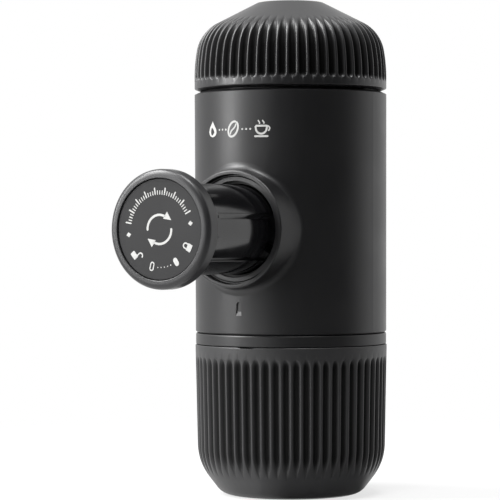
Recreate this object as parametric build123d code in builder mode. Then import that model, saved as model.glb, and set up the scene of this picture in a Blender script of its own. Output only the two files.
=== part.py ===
"""Handheld, hand-pumped espresso maker, standing on its own cup with the piston out. Millimetres.

The origin is the centre of the cup's flat base. +Z runs up through cup, portafilter, body and tank.
The pump lies across the body along Y, and its knob sticks out at the front, towards -Y.
"""

from build123d import *
import math
import os

os.makedirs("parts", exist_ok=True)

# ---- clearances, shared by every piece that meets another
seat_gap = 0.2  # flat face to flat face, across a joint
press_gap = 0.1  # a piece pressed or dropped into its seat
slide_gap = 0.35  # the sleeve in its barrel, the cup on its plug
ring_gap = 0.1  # a sealing ring in its groove or against its bore
thread_room = 0.8  # radial room that a screw thread takes

# ---- stack of outer pieces, bottom to top
cup_height = 47.6
flange_height = 3.5
body_height = 76.1
tank_seam = 0.3
dome_height = 28.1

# ---- body shell
body_r = 30.5
body_taper = 0.2
shell_wall = 2.1
body_top_chamfer = 1.8
body_top_chamfer_height = 0.8
body_foot_round = 0.45
ledge_depth = 1.6
ledge_height = 1.6
pointer_width = 2.2
pointer_height = 4.8
pointer_depth = 0.6
pointer_ramp = 1.9  # how far up its floor climbs from the foot
pointer_drop = 22.5  # from the pump axis down to the pointer's tip

# ---- boss on the front of the body, and the collar in it
boss_stand = 3.9  # how far the boss's front stands out of the body
boss_wall = 2.2
boss_half_angle = 5.5
boss_lip = 1.1
boss_blend_r = 2.4
boss_edge_r = 0.5
collar_recess = 2.0
collar_edge = 0.2
collar_length = 1.6
collar_gap = 1.15  # round the sleeve

# ---- pump, lying along Y
pump_rise = 32.6  # pump axis above the body's lower edge
stroke = 32.0
sleeve_r = 13.75
sleeve_wall = 2.35
sleeve_end_wall = 2.2
sleeve_tail_room = 0.6
barrel_wall = 1.8
cylinder_bore_r = 7.5
cylinder_wall = 2.0
cylinder_lead = 2.4  # from the cylinder's mouth in to the plunger
pump_flange = 3.5
port_rise = 4.5
port_r = 1.0
plunger_gap = 0.3
plunger_length = 6.0
plunger_dead_space = 0.6
rod_r = 3.5
rod_flange = 1.6
piston_seal_width = 2.0
piston_seal_depth = 1.0
washer_thickness = 0.6
spring_wire_r = 0.5
spring_turns = 10

# ---- bayonet: two channels down the sleeve, and the collar's two lugs in them
channel_depth = 1.1
channel_low = -44.0  # degrees above horizontal, on the sleeve's +X side, piston unlocked
channel_high = 14.0
channel_flare = 5.4
unlock_turn = 13.0
lock_turn = 33.0
lug_play = 0.3  # degrees left at each end of the turn
lug_length = 1.5
ledge_length = 2.0
ledge_low = -10.0

# ---- knob
knob_inset = 0.3
knob_thickness = 5.1
knob_edge_r = 1.4
knob_back_edge_r = 0.4
hub_inset = 1.4
hub_length = 1.65
hub_lip = 0.85
hub_reach = 0.3  # how far the knob's hub goes into the boss when it's pushed in
knob_socket = 2.0
bezel_width = 2.8
face_recess = 0.7
face_thickness = 1.4
knob_screw_r = 1.5
knob_screw_head_r = 3.8
knob_screw_head = 1.3
knob_screw_length = 12.0

# ---- valve block behind the pump
block_depth = 6.8
block_clear = 0.4  # from the block's back corners to the shell
block_half_width = 7.0
block_half_height = 13.5
valve_bore_r = 2.4
valve_seat_r = 1.1
valve_ball_gap = 0.6
inlet_floor = 2.0  # above the pump axis
inlet_seat = 9.0
outlet_seat = 6.0  # below the pump axis
outlet_floor = 12.5
valve_wire_r = 0.2
valve_spring_turns = 3
port_seal_r = 2.3
port_seal_wall = 0.8
port_seal_depth = 0.7
block_screw_inset = 2.6
block_screw_r = 1.0
block_screw_head_r = 1.9
block_screw_head = 1.4
block_screw_bite = 2.6

# ---- intake deck, between pump and tank
deck_clear = 2.0  # from the barrel up to the deck
deck_thickness = 3.0
spigot_r = 3.0
passage_r = 0.6
drop_r = 1.2
screen_r = 5.0
screen_thickness = 0.5
sump_r = 4.0
sump_depth = 1.5
tank_gasket_height = 1.6
tank_gasket_lap = 1.0
deck_screw_inset = 1.4
deck_screw_r = 1.2
deck_screw_head_r = 2.2
deck_screw_head = 1.3
deck_screw_length = 6.0
screw_post_r = 2.6
screw_post_height = 7.0
screw_post_web = 2.4

# ---- brew head, between pump and portafilter
head_clear = 2.0  # from the barrel down to the brew head
head_thickness = 5.6
head_port_inset = 6.0
head_passage_depth = 2.8
plenum_inset = 2.8
plenum_hub_r = 4.0
plenum_depth = 0.8
brew_gasket_lap = 0.6
brew_gasket_inset = 1.4
brew_gasket_height = 2.0
brew_gasket_seat = 1.2
shower_inset = 1.2
shower_thickness = 0.6
shower_hole_r = 1.0
shower_hole_inset = 7.8
shower_holes = 12
shower_screw_r = 1.4
shower_screw_head_r = 2.8
shower_screw_head = 1.2
shower_screw_length = 3.2

# ---- water tank
neck_wall = 1.8
tank_wall = 2.4
tank_top_r = 10.5
cone_inset = 6.7
cone_fall = 6.8
shoulder_inset = 0.75
shoulder_fall = 15.2
wall_fall = 26.0
tank_foot_chamfer = 1.8
tank_foot_chamfer_height = 0.7
tank_top_edge_r = 0.6
tank_flute_rise = 2.8  # from the seam up to where the flutes start
tank_scoop = 1.6  # height of a flute's sloping end
tank_turn = 3.4  # degrees that the flutes stand round from the +X side
neck_seal_height = 1.4
neck_seal_wall = 1.3
neck_seal_rise = 3.0  # above the neck's open end

# ---- portafilter, basket and scoop
flange_inset = 0.25
flange_edge_r = 0.5
plug_height = 4.0
chamber_room = 1.6
portafilter_wall = 4.8
basket_flange = 0.6
basket_lap = 1.8
basket_height = 22.4
basket_wall = 0.6
basket_gap = 0.4
basket_floor_gap = 1.0
chamber_floor = 2.4
outlet_r = 2.0
scoop_gap = 1.0
scoop_wall = 1.2
scoop_height = 18.6
portafilter_seal_rise = 2.2  # above the flange

# ---- spout head under the portafilter
spout_rim = 5.0
spout_cone = 11.5
spout_tip = 3.5
spout_tip_r = 5.5
spout_wall = 2.0
spout_hole_r = 2.0
spout_seal_inset = 4.0
spout_seal_wall = 2.0
spout_seal_depth = 0.8

# ---- drinking cup
cup_inset = 0.05
cup_rim_wall = 2.85
cup_waist_inset = 0.65
cup_waist_height = 16.1
cup_hip_inset = 4.2
cup_hip_height = 5.65
cup_heel_inset = 7.1
cup_heel_height = 1.9
cup_base_inset = 11.4
cup_floor = 2.4
bowl_inset = 1.95  # from the heel in to where the bowl starts to rise
bowl_wall = 1.5
bowl_height = 14.0
cup_side_wall = 2.6
cup_flute_fall = 3.6  # from the rim down to where the flutes start
cup_scoop = 3.2
cup_turn = -0.8
cup_notch_width = 8.0
cup_notch_depth = 0.6

# ---- flutes, the same round the tank and the cup
flute_count = 60
flute_depth = 1.2
flute_floor = 1.1
flute_mouth = 2.7
flute_clear = 0.5  # how far a cutter starts and ends outside the wall

# ---- heights and places that follow from the sizes above
flange_z = cup_height + seat_gap
flange_top = flange_z + flange_height
body_z = flange_top + seat_gap
body_top = body_z + body_height
tank_z = body_top + tank_seam
tank_top = tank_z + dome_height

shell_r = body_r - body_taper - shell_wall
neck_r = shell_r - thread_room
tank_r = body_r
tank_bore_r = neck_r - neck_wall
tank_gasket_r = tank_bore_r - tank_gasket_lap
cone_r = tank_r - cone_inset
shoulder_r = tank_r - shoulder_inset
flange_r = body_r - flange_inset
cup_r = body_r - cup_inset
cup_bore_r = cup_r - cup_rim_wall
cup_waist_r = cup_r - cup_waist_inset
cup_hip_r = cup_r - cup_hip_inset
cup_heel_r = cup_r - cup_heel_inset
cup_base_r = cup_r - cup_base_inset
chamber_r = cup_bore_r - chamber_room
spout_seal_r = chamber_r - spout_seal_inset
portafilter_bore_r = neck_r - portafilter_wall
basket_r = portafilter_bore_r - basket_gap
basket_flange_r = portafilter_bore_r + basket_lap
scoop_r = basket_r - basket_wall - scoop_gap
brew_gasket_r = neck_r - brew_gasket_inset
brew_gasket_bore_r = portafilter_bore_r - brew_gasket_lap
shower_r = brew_gasket_bore_r - shower_inset
shower_hole_circle = shower_r - shower_hole_inset
plenum_r = shower_r - plenum_inset
head_port_y = plenum_r - head_port_inset
deck_screw_circle = tank_gasket_r - deck_screw_head_r - deck_screw_inset

pump_z = body_z + pump_rise
barrel_bore_r = sleeve_r + slide_gap
barrel_r = barrel_bore_r + barrel_wall
boss_r = barrel_r + boss_wall
boss_reach = body_r + boss_stand
collar_bore_r = sleeve_r + collar_gap
sleeve_bore_r = sleeve_r - sleeve_wall
cylinder_r = cylinder_bore_r + cylinder_wall
plunger_r = cylinder_bore_r - plunger_gap
knob_r = boss_r - knob_inset
hub_r = knob_r - hub_inset
face_r = knob_r - bezel_width
valve_ball_r = valve_bore_r - valve_ball_gap
block_screw_x = block_half_width - block_screw_inset
block_screw_z = block_half_height - block_screw_inset
block_back_y = math.sqrt((shell_r - block_clear) ** 2 - block_half_width**2)
pump_back_y = block_back_y - block_depth
valve_y = pump_back_y + block_depth / 2
barrel_end_y = pump_back_y - pump_flange
sleeve_tail_y = barrel_end_y - stroke - sleeve_tail_room
collar_y = -boss_reach + collar_recess
collar_back_y = collar_y + collar_length
hub_back_y = -boss_reach - stroke + hub_reach
knob_back_y = hub_back_y - hub_length
knob_front_y = knob_back_y - knob_thickness
sleeve_front_y = hub_back_y - knob_socket
sleeve_floor_y = sleeve_front_y + sleeve_end_wall
rod_front_y = sleeve_floor_y + press_gap + washer_thickness + press_gap
rod_flange_y = rod_front_y + rod_flange
plunger_back_y = barrel_end_y - plunger_dead_space - stroke
plunger_front_y = plunger_back_y - plunger_length
cylinder_mouth_y = plunger_front_y - cylinder_lead

deck_z = pump_z + barrel_r + deck_clear
deck_top = deck_z + deck_thickness
neck_z = deck_top + tank_gasket_height + seat_gap
head_top = pump_z - barrel_r - head_clear
head_z = head_top - head_thickness
gasket_z = head_z - brew_gasket_height + brew_gasket_seat
rim_z = gasket_z - seat_gap
basket_z = rim_z - basket_height
chamber_z = basket_z - basket_floor_gap
spout_z = chamber_z - chamber_floor

cone_z = tank_top - cone_fall
shoulder_z = tank_top - shoulder_fall
wall_z = tank_top - wall_fall

pump_axis = Axis((0, 0, pump_z), (0, 1, 0))
pump_side = Plane(origin=(0, 0, pump_z), x_dir=(0, 1, 0), z_dir=(1, 0, 0))


def pump_face(y):
    """The plane across the pump axis at y, seen from the knob: its x runs along +X and its y along +Z."""
    return Plane(origin=(0, y, pump_z), x_dir=(1, 0, 0), z_dir=(0, -1, 0))


def turned(*points):
    """Turns an outline of (radius, z) points round the upright axis."""
    with BuildSketch(Plane.XZ) as outline:
        with BuildLine():
            Polyline(*points, close=True)
        make_face()
    revolve(outline.sketch, axis=Axis.Z)


def turned_on_pump(*points, mode=Mode.ADD):
    """Turns an outline of (y, radius) points round the pump axis."""
    with BuildSketch(pump_side) as outline:
        with BuildLine():
            Polyline(*points, close=True)
        make_face()
    revolve(outline.sketch, axis=pump_axis, mode=mode)


def ring(z, height, inner, outer):
    """A flat-sided ring round the upright axis."""
    turned((inner, z), (outer, z), (outer, z + height), (inner, z + height))


def finish(name, part):
    part.label = name
    export_step(part, f"parts/{name}.step")


def sector(inner, outer, low, high, flare=0.0):
    """A slice of a ring between two angles, its high side leaning back by flare at the outer radius."""
    with BuildLine() as outline:
        floor = CenterArc((0, 0), inner, low, high - low)
        rim = CenterArc((0, 0), outer, low, high + flare - low)
        Line(floor @ 0, rim @ 0)
        Line(floor @ 1, rim @ 1)
    make_face(outline.edges())


def coil(start, direction, length, mean_r, wire_r, turns, sides):
    """A compression spring that fills length from start along direction."""
    axis = Vector(*direction)
    run = length - 2 * wire_r
    with BuildLine() as path:
        Helix(run / turns, run, mean_r, center=Vector(*start) + axis * wire_r, direction=direction)
    with BuildSketch(Plane(origin=path.line @ 0, z_dir=path.line % 0)) as wire:
        RegularPolygon(wire_r, sides)
    sweep(wire.sketch, path=path.line, is_frenet=True)


def inside(edge, along, depth):
    """The point that lies depth inside an outline's edge, whose solid is on the side of the upright axis."""
    tangent = edge % along
    outward = Vector(abs(tangent.Z), 0, abs(tangent.X) * (1 if tangent.X * tangent.Z <= 0 else -1))
    return edge @ along - outward * depth


def flute(*floor_points):
    """A cutter for one flute: a straight-sided groove whose floor follows the points, in the XZ plane."""
    reach = 2 * flute_depth
    flank = (flute_mouth - flute_floor) / 2 / flute_depth * reach
    with BuildLine() as floor_line:
        Polyline(*floor_points)
    start = floor_line.line @ 0
    with BuildSketch(Plane(origin=start, x_dir=(0, 1, 0), z_dir=floor_line.line % 0)) as section:
        side = 1 if section.workplanes[0].y_dir.X > 0 else -1
        with BuildLine():
            Polyline(
                (-flute_floor / 2, 0),
                (flute_floor / 2, 0),
                (flute_floor / 2 + flank, side * reach),
                (-flute_floor / 2 - flank, side * reach),
                close=True,
            )
        make_face()
    sweep(section.sketch, path=floor_line.line, transition=Transition.RIGHT)


# ---------------------------------------------------------------- main body
# cutter for the pointer under the boss: round tip, and a floor that climbs to the surface at its foot
tip_z = pump_z - pointer_drop
foot_z = tip_z - pointer_height
with BuildPart() as pointer:
    with BuildSketch(Plane.XZ.offset(body_r - pointer_depth)):
        with BuildLine():
            foot = Line((-pointer_width / 2, foot_z), (pointer_width / 2, foot_z))
            right = Line(foot @ 1, (pointer_width / 3, tip_z - pointer_width / 2))
            left = Line(foot @ 0, (-pointer_width / 3, tip_z - pointer_width / 2))
            ThreePointArc(right @ 1, (0, tip_z), left @ 1)
        make_face()
    extrude(amount=2 * pointer_depth)
    with BuildSketch(Plane.YZ):
        with BuildLine():
            Polyline(
                (pointer_depth - body_r, foot_z),
                (-body_r, foot_z),
                (pointer_depth - body_r, foot_z + pointer_ramp),
                close=True,
            )
        make_face()
    extrude(amount=pointer_width, both=True, mode=Mode.SUBTRACT)

with BuildPart() as main_body:
    turned(
        (0, body_z),
        (body_r - body_taper - body_foot_round, body_z),
        (body_r - body_taper, body_z + body_foot_round),
        (body_r, body_top - body_top_chamfer_height),
        (body_r - body_top_chamfer, body_top),
        (0, body_top),
    )
    # the boss flares back from its round front into the shell
    boss_root_r = boss_r + boss_reach * math.tan(math.radians(boss_half_angle))
    turned_on_pump((-boss_reach, 0), (-boss_reach, boss_r), (0, boss_root_r), (0, 0))
    seam = (
        main_body.edges()
        .filter_by(lambda e: e.geom_type not in (GeomType.LINE, GeomType.CIRCLE))
        .sort_by(Axis.Y)
    )
    fillet(seam, boss_blend_r)
    nose = main_body.edges().filter_by(GeomType.CIRCLE).sort_by(Axis.Y)[0]
    fillet(nose, boss_edge_r)
    # the shell is open at both ends, with a ledge for the intake deck and one for the brew head
    with BuildSketch(Plane.XZ):
        with BuildLine():
            Polyline(
                (0, body_z),
                (shell_r, body_z),
                (shell_r, head_top),
                (shell_r - ledge_depth, head_top),
                (shell_r, head_top + ledge_height),
                (shell_r, deck_z - ledge_height),
                (shell_r - ledge_depth, deck_z),
                (shell_r, deck_z),
                (shell_r, body_top),
                (0, body_top),
                close=True,
            )
        make_face()
    revolve(axis=Axis.Z, mode=Mode.SUBTRACT)
    # stepped bore through the boss: collar in front, barrel behind
    turned_on_pump(
        (-boss_reach, 0),
        (-boss_reach, boss_r - boss_lip),
        (collar_back_y, boss_r - boss_lip),
        (collar_back_y, barrel_r + press_gap),
        (0, barrel_r + press_gap),
        (0, 0),
        mode=Mode.SUBTRACT,
    )
    # posts for the deck's screws, each on a web from the shell
    with BuildSketch(Plane.XY.offset(deck_z - screw_post_height)):
        with PolarLocations(deck_screw_circle, 4, start_angle=45):
            Circle(screw_post_r)
        with PolarLocations((deck_screw_circle + shell_r) / 2, 4, start_angle=45):
            Rectangle(shell_r - deck_screw_circle + press_gap, screw_post_web)
    extrude(amount=screw_post_height)
    with BuildSketch(Plane.XY.offset(deck_z)):
        with PolarLocations(deck_screw_circle, 4, start_angle=45):
            Circle(deck_screw_r)
    extrude(amount=-deck_screw_length + deck_thickness, mode=Mode.SUBTRACT)
    add(pointer.part, mode=Mode.SUBTRACT)
finish("main_body", main_body.part)

# ---------------------------------------------------------------- collar with its two lugs
channel_floor_r = sleeve_r - channel_depth
lug_span = channel_high - channel_low - unlock_turn - lock_turn - 2 * lug_play
lug_low = channel_low + unlock_turn + lug_play
with BuildPart() as collar_ring:
    collar_r = boss_r - boss_lip - press_gap
    turned_on_pump(
        (collar_y, collar_bore_r),
        (collar_y, collar_r - collar_edge),
        (collar_y + collar_edge, collar_r),
        (collar_back_y - press_gap, collar_r),
        (collar_back_y - press_gap, collar_bore_r),
    )
    for side in (0, 180):
        with BuildSketch(pump_face(collar_y)):
            lug_start = lug_low + side
            sector(channel_floor_r + seat_gap, collar_bore_r + seat_gap, lug_start, lug_start + lug_span)
        extrude(amount=-lug_length)
finish("collar_ring", collar_ring.part)

# ---------------------------------------------------------------- pump barrel and cylinder
with BuildPart() as pump_barrel:
    turned_on_pump(
        (collar_back_y, barrel_bore_r),
        (collar_back_y, barrel_r),
        (barrel_end_y, barrel_r),
        (barrel_end_y, barrel_bore_r),
    )
finish("pump_barrel", pump_barrel.part)

with BuildPart() as pump_cylinder:
    turned_on_pump(
        (cylinder_mouth_y, cylinder_bore_r),
        (cylinder_mouth_y, cylinder_r),
        (barrel_end_y, cylinder_r),
        (barrel_end_y, barrel_r),
        (pump_back_y, barrel_r),
        (pump_back_y, 0),
        (barrel_end_y, 0),
        (barrel_end_y, cylinder_bore_r),
    )
    with BuildSketch(pump_face(barrel_end_y)):
        with Locations((0, port_rise), (0, -port_rise)):
            Circle(port_r)
        with GridLocations(2 * block_screw_x, 2 * block_screw_z, 2, 2):
            Circle(block_screw_r)
    extrude(amount=-pump_flange, mode=Mode.SUBTRACT)
finish("pump_cylinder", pump_cylinder.part)

# ---------------------------------------------------------------- valve block
with BuildPart() as pump_manifold:
    with BuildSketch(pump_face(pump_back_y)):
        RectangleRounded(2 * block_half_width, 2 * block_half_height, 1.5)
    extrude(amount=-block_depth)
    with BuildSketch(Plane.XY.offset(pump_z + inlet_floor)):
        with Locations((0, valve_y)):
            Circle(valve_bore_r)
    extrude(amount=inlet_seat - inlet_floor, mode=Mode.SUBTRACT)
    with BuildSketch(Plane.XY.offset(pump_z + inlet_seat)):
        with Locations((0, valve_y)):
            Circle(valve_seat_r)
    extrude(amount=block_half_height - inlet_seat, mode=Mode.SUBTRACT)
    with BuildSketch(Plane.XY.offset(pump_z - outlet_floor)):
        with Locations((0, valve_y)):
            Circle(valve_bore_r)
    extrude(amount=outlet_floor - outlet_seat, mode=Mode.SUBTRACT)
    with BuildSketch(Plane.XY.offset(pump_z - block_half_height)):
        with Locations((0, valve_y)):
            Circle(valve_seat_r)
    extrude(amount=block_half_height - port_rise, mode=Mode.SUBTRACT)
    with BuildSketch(pump_face(pump_back_y)):
        with Locations((0, port_rise), (0, -port_rise)):
            Circle(port_r)
    extrude(amount=pump_back_y - valve_y, mode=Mode.SUBTRACT)
    with BuildSketch(pump_face(pump_back_y)):
        with Locations((0, port_rise), (0, -port_rise)):
            Circle(port_seal_r)
            Circle(port_seal_r - port_seal_wall, mode=Mode.SUBTRACT)
    extrude(amount=-port_seal_depth, mode=Mode.SUBTRACT)
    with BuildSketch(pump_face(pump_back_y)):
        with GridLocations(2 * block_screw_x, 2 * block_screw_z, 2, 2):
            Circle(block_screw_r)
    extrude(amount=-block_depth, mode=Mode.SUBTRACT)
    with BuildSketch(pump_face(block_back_y)):
        with GridLocations(2 * block_screw_x, 2 * block_screw_z, 2, 2):
            Circle(block_screw_head_r + press_gap / 2)
    extrude(amount=block_screw_head, mode=Mode.SUBTRACT)
finish("pump_manifold", pump_manifold.part)

with BuildPart() as cylinder_seal:
    with BuildSketch(pump_face(pump_back_y)):
        with Locations((0, port_rise), (0, -port_rise)):
            Circle(port_seal_r)
            Circle(port_seal_r - port_seal_wall, mode=Mode.SUBTRACT)
    extrude(amount=-port_seal_depth)
finish("cylinder_seal", cylinder_seal.part)

with BuildPart() as manifold_screws:
    with BuildSketch(pump_face(block_back_y)):
        with GridLocations(2 * block_screw_x, 2 * block_screw_z, 2, 2):
            Circle(block_screw_head_r)
    extrude(amount=block_screw_head)
    with BuildSketch(pump_face(block_back_y)):
        with GridLocations(2 * block_screw_x, 2 * block_screw_z, 2, 2):
            Circle(block_screw_r)
    extrude(amount=block_depth + block_screw_bite)
finish("manifold_screws", manifold_screws.part)

# each ball hangs just under its seat, pushed up by its spring
ball_drop = math.sqrt(valve_ball_r**2 - valve_seat_r**2) + ring_gap / 2
for name, seat, floor in (
    ("inlet", inlet_seat, inlet_floor),
    ("outlet", -outlet_seat, -outlet_floor),
):
    ball_z = pump_z + seat - ball_drop
    with BuildPart() as ball:
        with BuildSketch(Plane(origin=(0, valve_y, ball_z), x_dir=(1, 0, 0), z_dir=(0, -1, 0))):
            Circle(valve_ball_r)
            Rectangle(valve_ball_r, 2 * valve_ball_r, align=(Align.MAX, Align.CENTER), mode=Mode.SUBTRACT)
        revolve(axis=Axis((0, valve_y, ball_z), (0, 0, 1)))
    finish(f"{name}_ball", ball.part)
    with BuildPart() as ball_spring:
        floor_z = pump_z + floor
        spring_length = ball_z - valve_ball_r - floor_z
        coil(
            (0, valve_y, floor_z),
            (0, 0, 1),
            spring_length,
            valve_ball_r - valve_wire_r,
            valve_wire_r,
            valve_spring_turns,
            4,
        )
    finish(f"{name}_spring", ball_spring.part)

# ---------------------------------------------------------------- plunger, which slides and doesn't turn
with BuildPart() as plunger_rod:
    seal_y = plunger_front_y + (plunger_length - piston_seal_width) / 2
    turned_on_pump(
        (rod_front_y, knob_screw_r),
        (rod_front_y, sleeve_bore_r - seat_gap - ring_gap),
        (rod_flange_y, sleeve_bore_r - seat_gap - ring_gap),
        (rod_flange_y, rod_r),
        (plunger_front_y, rod_r),
        (plunger_front_y, plunger_r),
        (seal_y, plunger_r),
        (seal_y, plunger_r - piston_seal_depth),
        (seal_y + piston_seal_width, plunger_r - piston_seal_depth),
        (seal_y + piston_seal_width, plunger_r),
        (plunger_back_y, plunger_r),
        (plunger_back_y, 0),
        (sleeve_front_y + knob_screw_length, 0),
        (sleeve_front_y + knob_screw_length, knob_screw_r),
    )
finish("plunger_rod", plunger_rod.part)

with BuildPart() as piston_seal:
    turned_on_pump(
        (seal_y, plunger_r - piston_seal_depth),
        (seal_y, cylinder_bore_r - ring_gap),
        (seal_y + piston_seal_width, cylinder_bore_r - ring_gap),
        (seal_y + piston_seal_width, plunger_r - piston_seal_depth),
    )
finish("piston_seal", piston_seal.part)

with BuildPart() as thrust_washer:
    washer_y = rod_front_y - washer_thickness
    turned_on_pump(
        (washer_y, knob_screw_r + ring_gap),
        (washer_y, sleeve_bore_r - seat_gap - ring_gap),
        (rod_front_y, sleeve_bore_r - seat_gap - ring_gap),
        (rod_front_y, knob_screw_r + ring_gap),
    )
finish("thrust_washer", thrust_washer.part)

with BuildPart() as return_spring:
    coil(
        (0, rod_flange_y, pump_z),
        (0, 1, 0),
        barrel_end_y - rod_flange_y,
        (cylinder_r + sleeve_bore_r) / 2,
        spring_wire_r,
        spring_turns,
        6,
    )
finish("return_spring", return_spring.part)

screw_seat_y = sleeve_front_y - knob_screw_head
with BuildPart() as knob_screw:
    turned_on_pump(
        (screw_seat_y - knob_screw_head, 0),
        (screw_seat_y - knob_screw_head, knob_screw_head_r),
        (screw_seat_y, knob_screw_head_r),
        (screw_seat_y, knob_screw_r),
        (sleeve_front_y + knob_screw_length, knob_screw_r),
        (sleeve_front_y + knob_screw_length, 0),
    )
finish("knob_screw", knob_screw.part)

# ---------------------------------------------------------------- sleeve and knob, which slide and turn
with BuildPart() as piston_sleeve:
    turned_on_pump(
        (sleeve_front_y, knob_screw_r + ring_gap),
        (sleeve_front_y, sleeve_r),
        (sleeve_tail_y, sleeve_r),
        (sleeve_tail_y, sleeve_bore_r),
        (sleeve_floor_y, sleeve_bore_r),
        (sleeve_floor_y, knob_screw_r + ring_gap),
    )
    # each channel starts where the lug lies when locked and ends where it stops the piston coming out
    channel_front_y = collar_y - stroke - seat_gap
    channel_back_y = collar_y + lug_length + seat_gap
    lock_ledge_y = channel_front_y + 2 * seat_gap + lug_length
    cutter_r = sleeve_r + channel_depth
    for side in (0, 180):
        with BuildSketch(pump_face(channel_front_y)):
            sector(channel_floor_r, cutter_r, channel_low + side, channel_high + side, channel_flare)
        extrude(amount=channel_front_y - channel_back_y, mode=Mode.SUBTRACT)
        with BuildSketch(pump_face(lock_ledge_y)):
            ledge_high = channel_high + channel_flare
            sector(channel_floor_r - seat_gap, sleeve_r, ledge_low + side, ledge_high + side)
        extrude(amount=-ledge_length)
finish("piston_sleeve", piston_sleeve.part)

with BuildPart() as piston_knob:
    face_back_y = knob_front_y + face_recess + face_thickness
    turned_on_pump(
        (knob_front_y, face_r + press_gap),
        (knob_front_y, knob_r),
        (knob_back_y, knob_r),
        (knob_back_y, hub_r),
        (hub_back_y, sleeve_r + hub_lip),
        (hub_back_y, sleeve_r + press_gap),
        (sleeve_front_y, sleeve_r + press_gap),
        (sleeve_front_y, knob_screw_r + ring_gap),
        (screw_seat_y, knob_screw_r + ring_gap),
        (screw_seat_y, knob_screw_head_r + ring_gap),
        (face_back_y, knob_screw_head_r + ring_gap),
        (face_back_y, face_r + press_gap),
    )
    rims = piston_knob.edges().filter_by(GeomType.CIRCLE).filter_by(lambda e: e.radius > hub_r + ring_gap)
    fillet(rims.sort_by(Axis.Y)[0], knob_edge_r)
    rims = piston_knob.edges().filter_by(GeomType.CIRCLE).filter_by(lambda e: e.radius > knob_r - ring_gap)
    fillet(rims.sort_by(Axis.Y)[-1], knob_back_edge_r)
finish("piston_knob", piston_knob.part)

with BuildPart() as knob_face:
    turned_on_pump(
        (knob_front_y + face_recess, 0),
        (knob_front_y + face_recess, face_r),
        (face_back_y, face_r),
        (face_back_y, 0),
    )
finish("knob_face", knob_face.part)

# ---------------------------------------------------------------- intake deck under the tank
with BuildPart() as intake_deck:
    with BuildSketch(Plane.XY.offset(deck_z)):
        Circle(shell_r - press_gap)
    extrude(amount=deck_thickness)
    with BuildSketch(Plane.XY.offset(deck_z)):
        with Locations((0, valve_y)):
            Circle(spigot_r)
    extrude(amount=pump_z + block_half_height - deck_z)
    with BuildSketch(Plane.XY.offset(deck_top)):
        Circle(screen_r + press_gap)
    extrude(amount=-screen_thickness, mode=Mode.SUBTRACT)
    with BuildSketch(Plane.XY.offset(deck_top - screen_thickness)):
        Circle(sump_r)
    extrude(amount=-sump_depth, mode=Mode.SUBTRACT)
    passage_z = deck_top - screen_thickness - sump_depth / 2
    with BuildSketch(Plane.XZ):
        with Locations((0, passage_z)):
            Circle(passage_r)
    extrude(amount=-valve_y, mode=Mode.SUBTRACT)
    with BuildSketch(Plane.XY.offset(passage_z)):
        with Locations((0, valve_y)):
            Circle(drop_r)
    extrude(amount=pump_z + block_half_height - passage_z, mode=Mode.SUBTRACT)
    with BuildSketch(Plane.XY.offset(deck_top)):
        with PolarLocations(deck_screw_circle, 4, start_angle=45):
            Circle(deck_screw_r)
    extrude(amount=-deck_thickness, mode=Mode.SUBTRACT)
finish("intake_deck", intake_deck.part)

with BuildPart() as intake_screen:
    ring(deck_top - screen_thickness, screen_thickness, 0, screen_r)
finish("intake_screen", intake_screen.part)

with BuildPart() as deck_screws:
    with BuildSketch(Plane.XY.offset(deck_top)):
        with PolarLocations(deck_screw_circle, 4, start_angle=45):
            Circle(deck_screw_head_r)
    extrude(amount=deck_screw_head)
    with BuildSketch(Plane.XY.offset(deck_top)):
        with PolarLocations(deck_screw_circle, 4, start_angle=45):
            Circle(deck_screw_r)
    extrude(amount=-deck_screw_length)
finish("deck_screws", deck_screws.part)

with BuildPart() as tank_gasket:
    ring(deck_top, tank_gasket_height, tank_gasket_r, shell_r - press_gap)
finish("tank_gasket", tank_gasket.part)

# ---------------------------------------------------------------- brew head
with BuildPart() as brew_head:
    with BuildSketch(Plane.XY.offset(head_z)):
        Circle(shell_r - press_gap)
    extrude(amount=head_thickness)
    with BuildSketch(Plane.XY.offset(head_top)):
        with Locations((0, valve_y)):
            Circle(spigot_r)
    extrude(amount=pump_z - block_half_height - head_top)
    with BuildSketch(Plane.XY.offset(head_z)):
        Circle(brew_gasket_r)
        Circle(brew_gasket_bore_r, mode=Mode.SUBTRACT)
    extrude(amount=brew_gasket_seat, mode=Mode.SUBTRACT)
    with BuildSketch(Plane.XY.offset(head_z)):
        Circle(plenum_r)
        Circle(plenum_hub_r, mode=Mode.SUBTRACT)
    extrude(amount=plenum_depth, mode=Mode.SUBTRACT)
    head_passage_z = head_top - head_passage_depth
    with BuildSketch(Plane.XY.offset(head_passage_z)):
        with Locations((0, valve_y)):
            Circle(drop_r)
    extrude(amount=pump_z - block_half_height - head_passage_z, mode=Mode.SUBTRACT)
    with BuildSketch(Plane.XZ.offset(-head_port_y)):
        with Locations((0, head_passage_z)):
            Circle(passage_r)
    extrude(amount=head_port_y - valve_y, mode=Mode.SUBTRACT)
    with BuildSketch(Plane.XY.offset(head_z)):
        with Locations((0, head_port_y)):
            Circle(drop_r)
    extrude(amount=head_passage_z - head_z, mode=Mode.SUBTRACT)
    with BuildSketch(Plane.XY.offset(head_z)):
        Circle(shower_screw_r)
    extrude(amount=shower_screw_length, mode=Mode.SUBTRACT)
finish("brew_head", brew_head.part)

with BuildPart() as brew_gasket:
    ring(gasket_z, brew_gasket_height, brew_gasket_bore_r, brew_gasket_r)
finish("brew_gasket", brew_gasket.part)

with BuildPart() as shower_screen:
    with BuildSketch(Plane.XY.offset(head_z)):
        Circle(shower_r)
        Circle(shower_screw_r, mode=Mode.SUBTRACT)
        with PolarLocations(shower_hole_circle, shower_holes):
            Circle(shower_hole_r, mode=Mode.SUBTRACT)
    extrude(amount=-shower_thickness)
finish("shower_screen", shower_screen.part)

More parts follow.
